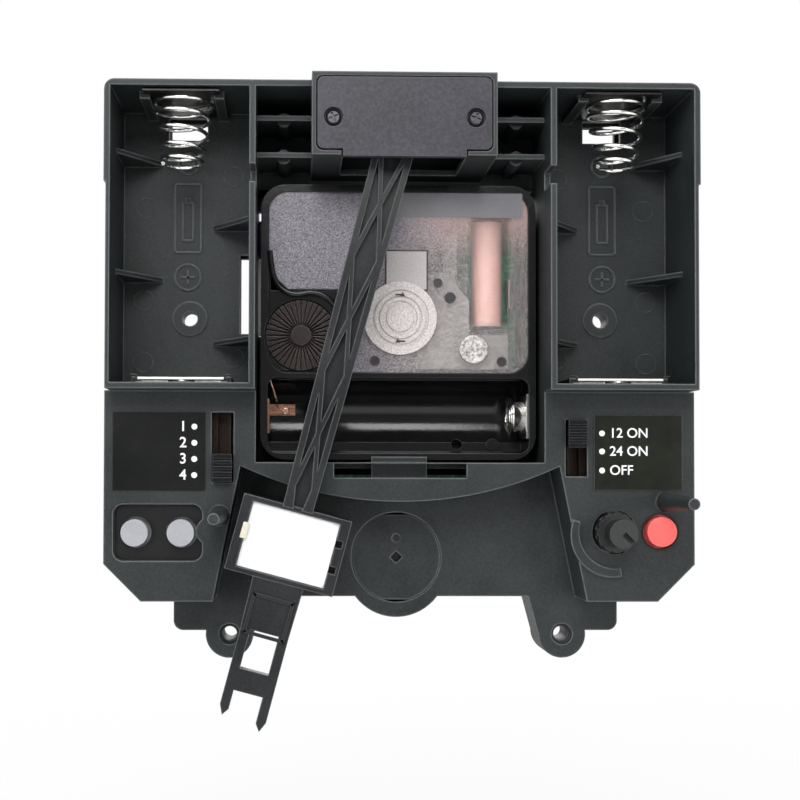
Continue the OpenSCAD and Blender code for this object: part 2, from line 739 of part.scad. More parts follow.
// The sheet metal plate that each spring stands on
module spring_plate(x) {
    color(nickel) block(x - plate_w / 2, x + plate_w / 2, plate_back, -bay_floor,
                        plate_z - plate_thick / 2, plate_z + plate_thick / 2);
}
module left_spring_plate() spring_plate(-bay_mid);
module right_spring_plate() spring_plate(bay_mid);

// The plus contact at the foot of each bay, with its dimple
module positive_contact(x) {
    color(nickel) {
        block(x - contact_w / 2, x + contact_w / 2, contact_back + 0.5, -bay_floor,
              contact_z - plate_thick / 2, contact_z + plate_thick / 2);
        translate([x, cell_axis_y, contact_z]) cylinder(h = plate_thick / 2 + 0.5, r1 = 3, r2 = 2.4);
    }
}
module left_positive_contact() positive_contact(-bay_mid);
module right_positive_contact() positive_contact(bay_mid);

// The dark label plates beside the two slide switches
label_t = 0.3;
tune_label_at = [-panel_half + 1.8, tune_slot[0] - 1.3, bay_foot - 19.8, bay_foot - 4.4];
mode_label_at = [mode_slot[1] + 1.3, panel_half - 2.5, bay_foot - 19.6, bay_foot - 4.6];
module label_plate(at) {
    color(dark_plastic) block(at[0], at[1], -panel_depth - label_t, -panel_depth, at[2], at[3]);
}
module tune_label() label_plate(tune_label_at);
module mode_label() label_plate(mode_label_at);

// A slide switch: its body stands on the board, its knob slides up and down in the panel's slot
switch_back = -panel_depth + floor_t + 1.4;
switch_groove = 2;
tongue_w = 1.4;
knob_margin = 0.17;
function knob_h(slot, travel) = slot[3] - slot[2] - travel - 2 * knob_margin;
module switch_body(slot) {
    x = (slot[0] + slot[1]) / 2;
    near = sign(x) * switch_side;
    far = x + sign(x) * 3.2;
    color(steel) difference() {
        block(min(near, far), max(near, far), switch_back, -board_back, slot[2] - 1.5, slot[3] + 1.5);
        block(x - switch_groove / 2, x + switch_groove / 2, switch_back - cut, switch_back + 1.6,
              slot[2] - 0.2, slot[3] + 0.2);
    }
}
module switch_knob(slot, z, h) {
    x = (slot[0] + slot[1]) / 2;
    half = (slot[1] - slot[0]) / 2 - fit_gap;
    top = -panel_depth - 1.9;
    color(dark_plastic) difference() {
        union() {
            block(x - half, x + half, top, switch_back - 0.1, z, z + h);
            block(x - tongue_w / 2, x + tongue_w / 2, switch_back - 0.2, switch_back + 1.4, z + 0.6, z + h - 0.6);
        }
        // Grooves across the top for the fingertip
        for (k = [1:4]) block(x - half - cut, x + half + cut, top - cut, top + 0.5,
                              z + h * k / 5 - 0.22, z + h * k / 5 + 0.22);
    }
}
module tune_switch_body() switch_body(tune_slot);
module tune_switch_knob() switch_knob(tune_slot, tune_slot[2] + knob_margin, knob_h(tune_slot, tune_travel));
module mode_switch_body() switch_body(mode_slot);
module mode_switch_knob() {
    h = knob_h(mode_slot, mode_travel);
    switch_knob(mode_slot, mode_slot[3] - knob_margin - h, h);
}

// Push buttons: a cap, a flange that rests behind the panel, and the small switches under them
tray_back = -panel_depth + tray_depth + floor_t;
plunger_gap = 0.1;
stem_front = -17.9;
plunger_back = stem_front + button_travel + plunger_gap;
module small_button(x) {
    color([0.6, 0.6, 0.65]) {
        rod(x, button_z, small_button_r, -panel_depth - 1.2, tray_back + 0.1);
        rod(x, button_z, small_button_r + button_gap + 0.5, tray_back, stem_front);
    }
}
module set_button() small_button(set_x);
module reset_button() small_button(reset_x);
module monitor_button() {
    shelf = -panel_depth + floor_t;
    color([0.93, 0.35, 0.33]) {
        rod(monitor_x, monitor_z, monitor_button_r, -panel_depth - 1.5, shelf + 0.1);
        rod(monitor_x, monitor_z, monitor_button_r + button_gap + 0.5, shelf, shelf + 0.6);
        rod(monitor_x, monitor_z, 1.5, shelf + 0.5, stem_front);
    }
}
module button_switches() {
    color(steel) for (p = [[set_x, button_z], [reset_x, button_z], [monitor_x, monitor_z]]) {
        block(p[0] - 3, p[0] + 3, plunger_back + 0.8, -board_back, p[1] - 3, p[1] + 3);
        rod(p[0], p[1], 1.7, plunger_back, plunger_back + 0.9);
    }
}

// The volume control: a body on the board, a shaft and a knob with a pointer groove
pot_back = -board_back - 3.6;
shaft_r = 1.5;
knob_top_r = 2.8;
knob_back = -panel_depth - 8;
knob_step = -panel_depth - 2.6;
knob_front = -panel_depth + 1.6;
shaft_top = knob_step - 1.5;
module volume_potentiometer() {
    color(steel) difference() {
        rod(knob_x, knob_z, 4.8, pot_back, -board_back);
        rod(knob_x, knob_z, shaft_r + shaft_play, pot_back - cut, pot_back + 2.4);
    }
}
module volume_shaft() {
    color(nickel) rod(knob_x, knob_z, shaft_r, shaft_top, pot_back + 2.3);
}
module volume_knob() {
    color(dark_plastic) difference() {
        union() {
            rod(knob_x, knob_z, knob_r, knob_step, knob_front);
            rod(knob_x, knob_z, knob_top_r, knob_back, knob_step + 0.1);
        }
        rod(knob_x, knob_z, shaft_r + seat_gap, shaft_top - seat_gap, knob_front + cut);
        // Groove that points to the lower right
        translate([knob_x, 0, knob_z]) rotate([0, 45, 0])
            block(0, knob_r + cut, knob_back - cut, knob_back + 1.4, -0.5, 0.5);
        // Flutes round the skirt
        for (a = [0:30:330]) translate([knob_x, 0, knob_z]) rotate([0, a + 15, 0])
            rod(knob_r + 0.35, 0, 0.6, knob_step - cut, -panel_depth - 0.6);
    }
}

// The pendulum, drawn hanging straight down from the pivot and then swung to the left wall
rib_back = -27;
rib_front = -23;
web_back = -25.4;
web_front = -24.4;
edge_rib = 1.3;
cross_rib = 0.9;
cross_step = 23.2;
first_cross = 17;
arm_z0 = -frame_near;
hub_r = 3.6;
frame_back = -26.5;
frame_front = -14;
frame_side = 2.0;
frame_rail = 1.0;
hook_back = -26.2;
hook_front = -23.8;
frame_foot = -magnet_drop - magnet_frame_h / 2;
window_w = 5.7;
fork_rail = 1.9;
hook_w = 9.6;
window_top = -hook_drop + 18.7;
window_foot = window_top - 7.7;
fork_top = window_foot - 4.4;
short_tip = -hook_drop + 1.4;
function arm_half(z) = (arm_top_w + (arm_foot_w - arm_top_w) * (z + 9) / (arm_z0 + 9)) / 2;

// Place for anything that swings with the pendulum
module swung() {
    translate([0, 0, pivot_z]) rotate([0, swing_half, 0]) children();
}
// A straight rib in X and Z from one point to another
module strut(p, q, w) {
    d = q - p;
    translate(p) rotate(atan2(d[1], d[0])) translate([0, -w / 2]) square([norm(d), w]);
}
module arm_outline() {
    polygon([[-arm_half(-2), -2], [arm_half(-2), -2], [arm_half(arm_z0 - 0.5), arm_z0 - 0.5],
             [-arm_half(arm_z0 - 0.5), arm_z0 - 0.5]]);
}
module arm_ribs() {
    intersection() {
        arm_outline();
        union() {
            for (s = [-1, 1]) strut([s * (arm_half(0) - edge_rib / 2), 0],
                                    [s * (arm_half(arm_z0 - 2) - edge_rib / 2), arm_z0 - 2], edge_rib);
            for (k = [0:3], s = [-1, 1]) {
                z0 = -first_cross - (k - 0.5) * cross_step;
                z1 = z0 - cross_step;
                strut([-s * (arm_half(z0) - 1), z0], [s * (arm_half(z1) - 1), z1], cross_rib);
            }
        }
    }
}
module hook_outline() {
    half = hook_w / 2;
    difference() {
        polygon([[-half - 0.3, frame_foot + 0.5], [half + 0.3, frame_foot + 0.5], [half, window_top],
                 [half, -hook_drop + 2], [half - 0.9, -hook_drop], [half - fork_rail, -hook_drop + 1.4],
                 [half - fork_rail, fork_top], [fork_rail - half, fork_top], [fork_rail - half, short_tip + 1.4],
                 [0.9 - half, short_tip], [-half, short_tip + 2], [-half, window_top]]);
        pane(-window_w / 2, window_w / 2, window_foot, window_top);
    }
}
module pendulum_arm() {
    color(dark_plastic) swung() {
        difference() {
            union() {
                rod(0, 0, hub_r, hub_back, hub_front);
                deep(web_back, web_front) arm_outline();
                deep(rib_back, rib_front) arm_ribs();
            }
            rod(0, 0, pivot_pin_r + pivot_play, hub_back - cut, hub_front + cut);
        }
        // The frame that holds the magnet
        translate([0, 0, -magnet_drop]) difference() {
            block(-magnet_frame_w / 2, magnet_frame_w / 2, frame_back, frame_front, -magnet_frame_h / 2,
                  magnet_frame_h / 2);
            block(frame_side - magnet_frame_w / 2, magnet_frame_w / 2 - frame_side, frame_back - cut,
                  frame_front - 1, frame_rail - magnet_frame_h / 2, magnet_frame_h / 2 - frame_rail);
            for (z = [-2.6, 2.6]) block(magnet_frame_w / 2 - frame_side - 0.5, magnet_frame_w / 2 - 0.7,
                                        frame_back - cut, frame_back + 2.2, z - 0.7, z + 0.7);
        }
        deep(hook_back, hook_front) hook_outline();
    }
}
magnet_gap = 0.1;
magnet_back = frame_back + 0.8;
module pendulum_magnet() {
    color([0.97, 0.97, 0.98]) swung() translate([0, 0, -magnet_drop])
        block(frame_side + magnet_gap - magnet_frame_w / 2, magnet_frame_w / 2 - frame_side - magnet_gap,
              magnet_back, frame_front - 1, frame_rail + magnet_gap - magnet_frame_h / 2,
              magnet_frame_h / 2 - frame_rail - magnet_gap);
}

// The quartz movement: where its wheels stand, and how deep each one lies
movement_half = movement_w / 2;
case_z0 = -movement_half - movement_drop;
case_z1 = movement_half - movement_drop;
case_floor = -plate_t - case_wall;
lid_back = -movement_back;
lid_front = lid_back + cover_t;
rotor_at = [15.3, -6.1];
setting_at = [8.2 - movement_half, -3.6];
train_t = 0.6;
bridge_y = [-13.6, -12.8];
fast_y = -12.5;
seconds_y = -11.5;
third_y = -10.4;
middle_y = [-9.3, -8.5];
centre_y = -8.1;
minute_y = -7.0;
hour_y = -5.7;
pivot_r = 0.35;
arbor_r = 0.5;

// Teeth, and the module of each pair of wheels
rotor_teeth = 8;
fast_teeth = 40;
fast_pinion = 8;
seconds_teeth = 48;
seconds_pinion = 8;
third_teeth = 60;
third_pinion = 8;
centre_teeth = 64;
cannon_teeth = 12;
minute_teeth = 36;
minute_pinion = 10;
hour_teeth = 40;
setting_teeth = 30;
fast_module = 0.34;
seconds_module = 0.3;
third_module = 0.27;
motion_module = 0.355;
fast_gap = (rotor_teeth + fast_teeth) / 2 * fast_module;
seconds_gap = (fast_pinion + seconds_teeth) / 2 * seconds_module;
third_gap = (seconds_pinion + third_teeth) / 2 * third_module;
centre_module = 2 * third_gap / (third_pinion + centre_teeth);
minute_gap = (cannon_teeth + minute_teeth) / 2 * motion_module;
hour_module = 2 * minute_gap / (minute_pinion + hour_teeth);
setting_gap = (setting_teeth + minute_teeth) / 2 * motion_module;

// The point at distance a from the hand axis and b from point p, on the given side
function corner_point(p, a, b, side) =
    let (d = norm(p), k = (a * a + d * d - b * b) / (2 * a * d), t = side * acos(max(-1, min(1, k))),
         h = atan2(p[1], p[0])) a * [cos(h + t), sin(h + t)];
fast_at = corner_point(rotor_at, seconds_gap, fast_gap, 1);
minute_at = corner_point(setting_at, minute_gap, setting_gap, -1);
third_at = third_gap * [cos(120), sin(120)];

// Turn of a wheel at q that meshes with a wheel at p, turned by a, so that tooth meets gap
function mesh_turn(p, q, teeth_p, teeth_q, a) =
    let (h = atan2(q[1] - p[1], q[0] - p[0]), place = (h - a) * teeth_p / 360)
    h + 180 - 360 / teeth_q * (0.5 - place);
seconds_turn = 0;
fast_turn = mesh_turn([0, 0], fast_at, seconds_teeth, fast_pinion, seconds_turn);
rotor_turn = mesh_turn(fast_at, rotor_at, fast_teeth, rotor_teeth, fast_turn);
third_turn = mesh_turn([0, 0], third_at, seconds_pinion, third_teeth, seconds_turn);
centre_turn = mesh_turn(third_at, [0, 0], third_pinion, centre_teeth, third_turn);
setting_turn = 0;
minute_turn = mesh_turn(setting_at, minute_at, setting_teeth, minute_teeth, setting_turn);
cannon_turn = mesh_turn(minute_at, [0, 0], minute_teeth, cannon_teeth, minute_turn);
hour_turn = mesh_turn(minute_at, [0, 0], minute_pinion, hour_teeth, minute_turn);

// Outline of a toothed wheel: slim teeth with round-shouldered tips
module teeth_outline(n, m, turn) {
    r = n * m / 2;
    root = r - 1.1 * m;
    tip = r + 0.75 * m;
    step = 360 / n;
    tooth = [[root, -0.24], [r, -0.19], [tip, -0.07], [tip, 0.07], [r, 0.19], [root, 0.24]];
    polygon([for (i = [0:n - 1], t = tooth) let (a = turn + (i + t[1]) * step) t[0] * [cos(a), sin(a)]]);
}

// A toothed wheel or pinion standing at p
module gear(p, n, m, turn, y0, y1) {
    deep(y0, y1) translate(p) teeth_outline(n, m, turn);
}

// Posts that rise from the case floor: where, and how wide up to each shoulder
post_near = [-4.6, -8.8];
post_far = [7.6, 7.4];
post_coil = [movement_half - 7.1, -8.8];
post_stator = [11.1, case_z1 - 4.6];
stator_y = [middle_y[0], middle_y[0] + 1.0];
module_board_y = [-6.0, -5.2];
cover_half = movement_half - case_wall - 0.1;
cavity_half = movement_half - case_wall - 0.5;
cover_z0 = case_z0 + 17.7;
cell_z0 = case_z0 + 1.3;
cell_z1 = cover_z0 - 1.1;
trough_half = cavity_half + 0.6;
cradle_r = 7.5;
cradle_y = case_floor - cradle_r;
cradle_z = (cell_z0 + cell_z1) / 2;
ledge_y = case_floor - 2.1;
ledge_z = cell_z0 + 3.2;
shelf_x1 = -11.8;
shelf_z1 = 5.6;
shelf_back = lid_back + 0.3;
dial_r = 7.07;
setting_well_r = dial_r + 0.4;
setting_r = 1.0;
setting_floor = shelf_back + 2;
module movement_case() {
    color(dark_plastic) {
        difference() {
            deep(lid_back, -plate_t)
                round_pane(-movement_half, movement_half, case_z0, case_z1, movement_corner_r);
            // Seat of the clear cover, and the train's space below it
            deep(lid_back - cut, lid_front)
                round_pane(-cover_half - 0.1, cover_half + 0.1, cover_z0 - 0.1, case_z1 - case_wall, movement_corner_r - 1);
            deep(lid_front - cut, case_floor)
                round_pane(-cavity_half, cavity_half, cover_z0 + 0.5, case_z1 - case_wall - 0.5, movement_corner_r - 1.4);
            // Trough for the cell, with a round floor and a flat ledge below it
            deep(lid_back - cut, cradle_y)
                round_pane(-trough_half, trough_half, cell_z0, cell_z1, 2);
            translate([-trough_half, cradle_y, cradle_z]) rotate([0, 90, 0]) cylinder(h = 2 * trough_half, r = cradle_r);
            block(-trough_half, trough_half, cradle_y - cut, ledge_y, cell_z0 + 0.5, ledge_z);
            rod(13, cell_z0 + 2, 1.1, ledge_y - cut, cut);
            rod(setting_at[0], setting_at[1], setting_well_r, lid_back - cut, setting_floor);
            rod(0, 0, hour_seat_r + shaft_play, -plate_t - case_wall - cut, cut);
        }
        // The shelf that the setting wheel is sunk into
        difference() {
            block(-cavity_half - 0.1, shelf_x1, shelf_back, shelf_back + 3, cover_z0 + 0.4, shelf_z1);
            rod(setting_at[0], setting_at[1], setting_well_r, shelf_back - cut, setting_floor);
            rod(setting_at[0], setting_at[1], setting_r + shaft_play, setting_floor - cut, setting_floor + 3);
        }
        rod(20.5, cell_z0 + 2, 1.3, ledge_y - 0.8, ledge_y + 0.1);
        case_posts();
        centre_bush();
    }
}
module case_posts() {
    low = case_floor + 0.1;
    for (p = [post_near, post_far]) {
        rod(p[0], p[1], 1.2, middle_y[1], low);
        rod(p[0], p[1], 0.8, bridge_y[1], low);
    }
    rod(post_coil[0], post_coil[1], 3, module_board_y[1], low);
    rod(post_coil[0], post_coil[1], 2.2, stator_y[1], low);
    rod(post_coil[0], post_coil[1], 1.2, bridge_y[1], low);
    rod(post_stator[0], post_stator[1], 2.4, module_board_y[1], low);
    rod(post_stator[0], post_stator[1], 1.4, stator_y[1], low);
    rod(minute_at[0], minute_at[1], 0.6, minute_y - 0.1, low);
    rod(minute_at[0], minute_at[1], 1.2, hour_y + 0.8, low);
    difference() {
        union() {
            rod(rotor_at[0], rotor_at[1], 1.2, middle_y[1] + 1.3, low);
            rod(third_at[0], third_at[1], 1.0, minute_y, low);
            rod(setting_at[0], setting_at[1], 1.6, minute_y + 1.9, low);
            rod(0, 0, 3.6, hour_y + 0.8, low);
        }
        rod(rotor_at[0], rotor_at[1], pivot_r + 0.05, middle_y[1], middle_y[1] + 2.4);
        rod(third_at[0], third_at[1], pivot_r + 0.05, minute_y - cut, minute_y + 1);
        rod(setting_at[0], setting_at[1], 0.66, minute_y + 1, minute_y + 3.4);
        rod(0, 0, hour_seat_r + shaft_play, hour_y, cut);
    }
}
// The bush that passes through the dial
module centre_bush() {
    difference() {
        union() {
            rod(0, 0, plate_boss_r, -plate_t - 0.1, 0);
            rod(0, 0, bush_r, -0.1, bush_l);
        }
        rod(0, 0, hour_seat_r + shaft_play, -plate_t - 2, bush_l + cut);
    }
}

// The smoky clear cover, cut away round the setting wheel
module movement_cover() {
    color([0.5, 0.48, 0.5, 0.45]) deep(lid_back, lid_front - seat_gap) difference() {
        round_pane(-cover_half, cover_half, cover_z0, case_z1 - case_wall - 0.1, movement_corner_r - 1);
        polygon([[-movement_half, cover_z0 - cut], [shelf_x1 + 0.2, cover_z0 - cut], [shelf_x1 + 0.2, shelf_z1 + 0.2],
                 [setting_at[0] - 2.6, shelf_z1 + 0.2], [-cover_half + 1.2, shelf_z1 + 2.6],
                 [-cover_half + 0.6, 12], [-movement_half, 12]]);
    }
}

// Setting wheel: a finned disc outside, an arbor and a small toothed wheel inside
fins = 36;
module setting_wheel() {
    color([0.2, 0.15, 0.14]) {
        translate([setting_at[0], 0, setting_at[1]]) difference() {
            rod(0, 0, dial_r, lid_back - 0.1, setting_floor - 0.15);
            for (k = [0:fins - 1]) rotate([0, 360 * k / fins, 0])
                block(2, dial_r + cut, lid_back - cut, lid_back + 0.8, -0.2, 0.2);
        }
        rod(setting_at[0], setting_at[1], setting_r, setting_floor - 0.2, minute_y + train_t);
        rod(setting_at[0], setting_at[1], 0.6, minute_y, minute_y + 3);
        gear(setting_at, setting_teeth, motion_module, setting_turn, minute_y, minute_y + train_t);
    }
}

// The plates that hold the train's pivots
module pivot_hole(p, y0, y1) {
    rod(p[0], p[1], pivot_r + 0.05, y0, y1);
}
bridge_x1 = cavity_half - 3.4;
module train_bridge() {
    color(pale_plastic) difference() {
        union() {
            deep(bridge_y[0], bridge_y[1])
                polygon([[-7.2, -10.2], [bridge_x1, -10.2], [bridge_x1, -3.2], [14.6, -3.2], [14.6, 4], [9.8, 9.6], [-7.2, 10.2]]);
            rod(0, 0, 7.5, bridge_y[0] - 0.5, bridge_y[0] + 0.1);
            rod(rotor_at[0], rotor_at[1], 2.7, bridge_y[0] - 0.4, bridge_y[0] + 0.1);
        }
        for (r = [2.9, 4.8]) difference() {
            rod(0, 0, r, bridge_y[0] - cut, bridge_y[0] - 0.3);
            rod(0, 0, r - 0.25, bridge_y[0] - 2, bridge_y[0]);
        }
        for (p = [[0, 0], rotor_at, fast_at, third_at]) pivot_hole(p, bridge_y[0] + 0.1, bridge_y[1] + cut);
    }
}
module middle_plate() {
    color(dark_plastic) difference() {
        deep(middle_y[0], middle_y[1])
            polygon([[-6.5, -10.4], [9.2, -10.4], [9.2, 9], [2, 12.2], [-7.5, 12.2], [-7.5, 0]]);
        rod(0, 0, arbor_r + 0.1, middle_y[0] - cut, middle_y[1] + cut);
        rod(third_at[0], third_at[1], 1.7, middle_y[0] - cut, middle_y[1] + cut);
        pivot_hole(fast_at, middle_y[0] - cut, middle_y[1] - 0.1);
        for (p = [post_near, post_far]) rod(p[0], p[1], 0.85, middle_y[0] - cut, middle_y[1] + cut);
    }
}

// The step motor: coil, bobbin, core, stator and rotor
coil_x = cavity_half - 7.25;
coil_z0 = -1.9;
coil_z1 = case_z1 - 6.2;
coil_axis_y = middle_y[0] - 0.5;
bobbin_r = 3.5;
bobbin_hub = 2.0;
core_half_w = 1.4;
core_half_t = 0.5;
module coil_turned(z0, z1, r) {
    translate([coil_x, coil_axis_y, z0]) cylinder(h = z1 - z0, r = r);
}
module core_space(gap) {
    block(coil_x - core_half_w - gap, coil_x + core_half_w + gap, coil_axis_y - core_half_t - gap,
          coil_axis_y + core_half_t + gap, coil_z0 - 1.7, coil_z1 + 3);
}
module coil_bobbin() {
    color(dark_plastic) difference() {
        union() {
            coil_turned(coil_z0, coil_z0 + 0.6, bobbin_r);
            coil_turned(coil_z1 - 0.6, coil_z1, bobbin_r);
            coil_turned(coil_z0 + 0.1, coil_z1 - 0.1, bobbin_hub);
        }
        core_space(seat_gap);
    }
}
module stepper_coil() {
    color(copper) difference() {
        coil_turned(coil_z0 + 0.6 + seat_gap, coil_z1 - 0.6 - seat_gap, bobbin_r - 0.3);
        coil_turned(coil_z0, coil_z1, bobbin_hub + seat_gap);
    }
}
module coil_core() {
    color(steel) core_space(0);
}
module stator() {
    color(steel) difference() {
        deep(stator_y[0], stator_y[1]) {
            pane(9.7, 12.6, -10, coil_z1 + 3);
            pane(9.7, coil_x + core_half_w, coil_z1 + 0.3, coil_z1 + 3);
            pane(9.7, 23, -10, -2.3);
        }
        rod(rotor_at[0], rotor_at[1], 3.1, -20, 0);
        rod(post_coil[0], post_coil[1], 1.25, -20, 0);
    }
}
module rotor() {
    color(steel) rod(rotor_at[0], rotor_at[1], 2.7, middle_y[0] - 0.9, middle_y[1] + 0.7);
    color(dark_plastic) {
        gear(rotor_at, rotor_teeth, fast_module, rotor_turn, fast_y - 0.1, middle_y[0] - 0.8);
        rod(rotor_at[0], rotor_at[1], pivot_r, bridge_y[0] + 0.2, middle_y[1] + 2.2);
    }
}

// The train wheels
module train_wheel(p, big, big_module, small, small_module, turn, y, small_front) {
    gear(p, big, big_module, turn, y, y + train_t);
    gear(p, small, small_module, turn, y + train_t - 0.05, small_front);
}
module intermediate_wheel() {
    color(pale_plastic) {
        train_wheel(fast_at, fast_teeth, fast_module, fast_pinion, seconds_module, fast_turn, fast_y, third_y - 0.3);
        rod(fast_at[0], fast_at[1], arbor_r, fast_y, middle_y[0] - 0.2);
        rod(fast_at[0], fast_at[1], pivot_r, bridge_y[0] + 0.2, middle_y[1] - 0.2);
    }
}
// A hand's shaft: it runs in the bore round it, and beyond a short neck its end is the hand's seat
neck_l = 1.5;
neck_depth = 0.2;
module hand_shaft(r, y0, i) {
    mouth = bush_l + i * seat_step;
    rod(0, 0, r, y0, mouth - neck_l);
    rod(0, 0, r - neck_depth, y0, mouth + 0.2);
    rod(0, 0, r, mouth + 0.1, mouth + seat_step);
}
module seconds_wheel() {
    color(pale_plastic)
        train_wheel([0, 0], seconds_teeth, seconds_module, seconds_pinion, third_module, seconds_turn, seconds_y,
                    middle_y[0] - 0.3);
    color(steel) {
        hand_shaft(seconds_seat_r, bridge_y[1] + 0.1, 2);
        rod(0, 0, pivot_r, bridge_y[0] + 0.2, 0);
    }
}
module third_wheel() {
    color(pale_plastic) {
        train_wheel(third_at, third_teeth, third_module, third_pinion, centre_module, third_turn, third_y,
                    minute_y - 0.3);
        rod(third_at[0], third_at[1], arbor_r, fast_y, third_y + 0.1);
        rod(third_at[0], third_at[1], pivot_r, bridge_y[0] + 0.2, minute_y + 0.8);
    }
}
module centre_wheel() {
    color([0.2, 0.35, 0.6]) difference() {
        gear([0, 0], centre_teeth, centre_module, centre_turn, centre_y, centre_y + train_t);
        rod(0, 0, minute_seat_r + shaft_play, centre_y - cut, centre_y + cut);
    }
}
module minute_cannon() {
    color(steel) difference() {
        union() {
            hand_shaft(minute_seat_r, centre_y - 0.2, 1);
            gear([0, 0], cannon_teeth, motion_module, cannon_turn, minute_y - 0.3, hour_y - 0.4);
        }
        rod(0, 0, seconds_seat_r + shaft_play, centre_y - cut, bush_l + 2 * seat_step + cut);
    }
}
module minute_wheel() {
    color(pale_plastic) difference() {
        train_wheel(minute_at, minute_teeth, motion_module, minute_pinion, hour_module, minute_turn, minute_y,
                    hour_y + 0.7);
        rod(minute_at[0], minute_at[1], 0.66, minute_y - cut, hour_y + 2);
    }
}
module hour_wheel() {
    color(pale_plastic) difference() {
        union() {
            gear([0, 0], hour_teeth, hour_module, hour_turn, hour_y, hour_y + train_t);
            hand_shaft(hour_seat_r, hour_y, 0);
        }
        rod(0, 0, minute_seat_r + shaft_play, hour_y - cut, bush_l + seat_step + cut);
    }
}

// The movement's own board with its chip, and the quartz crystal
module movement_board() {
    color(board_green) difference() {
        deep(module_board_y[0], module_board_y[1]) pane(9.3, cavity_half - 0.6, -9.8, case_z1 - 3);
        rod(rotor_at[0], rotor_at[1], 1.6, -20, 0);
        rod(post_coil[0], post_coil[1], 2.3, -20, 0);
        rod(post_stator[0], post_stator[1], 1.5, -20, 0);
    }
    color(dark_plastic) rod(14.2, 12, 2.1, module_board_y[0] - 0.7, module_board_y[0]);
}
crystal_r = 0.95;
module quartz_crystal() {
    x = cavity_half - 2;
    y = module_board_y[0] - crystal_r;
    color(nickel) {
        translate([x, y, 3]) cylinder(h = 6, r = crystal_r);
        for (s = [-0.35, 0.35]) {
            block(x + s - 0.12, x + s + 0.12, y - 0.12, y + 0.12, 1.4, 3.1);
            block(x + s - 0.12, x + s + 0.12, y - 0.12, module_board_y[0], 1.16, 1.4);
        }
    }
}

// The cell's two contacts in the movement
contact_t = 0.3;
contact_foot = case_floor - 1.7;
module cell_spring_contact() {
    x = trough_half;
    color(nickel) {
        block(x - contact_t, x, lid_back + 1, contact_foot, cradle_z - 4.5, cradle_z + 4.5);
        translate([0, 0, cradle_z - 3]) linear_extrude(6)
            polygon([[x - 0.1, lid_back + 1], [x - 0.1, lid_back + 1.3], [x - 2.2, lid_back + 5.4],
                     [x - 0.9, case_floor - 1.6], [x - 1.2, case_floor - 1.5], [x - 2.6, lid_back + 5.4],
                     [x - 0.4, lid_back + 1]]);
    }
}
module cell_plus_contact() {
    x = -trough_half;
    strip_y = case_floor - 0.6;
    color(copper) {
        block(x, x + contact_t, lid_back + 3, contact_foot, cradle_z - 3.5, cradle_z + 3.5);
        block(x, x + contact_t, contact_foot - 0.1, strip_y, cradle_z + 0.4, cradle_z + 2.8);
        block(x, x + 5.6, strip_y - 0.35, strip_y, cradle_z + 0.4, cradle_z + 2.8);
    }
}

rear_housing();
front_plate();
front_plate_screws();
suspension_cover();
suspension_screws();
pendulum_pivot_pin();
coil_cap();
drive_coil();
drive_coil_bobbin();
drive_coil_core();
left_circuit_board();
right_circuit_board();
middle_circuit_board();
melody_chip();
board_capacitors();
board_screws();
left_battery_spring();
right_battery_spring();
left_spring_plate();
right_spring_plate();
left_positive_contact();
right_positive_contact();
tune_label();
mode_label();
tune_switch_body();
tune_switch_knob();
mode_switch_body();
mode_switch_knob();
set_button();
reset_button();
monitor_button();
button_switches();
volume_potentiometer();
volume_shaft();
volume_knob();
pendulum_arm();
pendulum_magnet();
movement_case();
movement_cover();
setting_wheel();
train_bridge();
middle_plate();
stepper_coil();
coil_bobbin();
coil_core();
stator();
rotor();
intermediate_wheel();
seconds_wheel();
third_wheel();
centre_wheel();
minute_cannon();
minute_wheel();
hour_wheel();
movement_board();
quartz_crystal();
cell_spring_contact();
cell_plus_contact();
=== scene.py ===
import math

import bpy
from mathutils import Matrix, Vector


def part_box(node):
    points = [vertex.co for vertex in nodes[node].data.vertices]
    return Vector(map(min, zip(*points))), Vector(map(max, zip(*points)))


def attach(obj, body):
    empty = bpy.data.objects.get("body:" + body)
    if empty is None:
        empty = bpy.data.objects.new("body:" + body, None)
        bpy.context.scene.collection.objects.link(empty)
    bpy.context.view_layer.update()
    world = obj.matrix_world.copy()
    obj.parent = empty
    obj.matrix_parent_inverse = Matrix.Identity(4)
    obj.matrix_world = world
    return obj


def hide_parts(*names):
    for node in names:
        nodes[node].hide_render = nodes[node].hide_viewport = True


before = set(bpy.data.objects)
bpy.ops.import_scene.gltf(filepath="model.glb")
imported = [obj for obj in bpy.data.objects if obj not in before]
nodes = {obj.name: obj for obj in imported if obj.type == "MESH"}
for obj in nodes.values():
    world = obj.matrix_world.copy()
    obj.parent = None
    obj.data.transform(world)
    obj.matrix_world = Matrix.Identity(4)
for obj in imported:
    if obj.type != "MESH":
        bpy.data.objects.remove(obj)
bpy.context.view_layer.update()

mm = 0.001


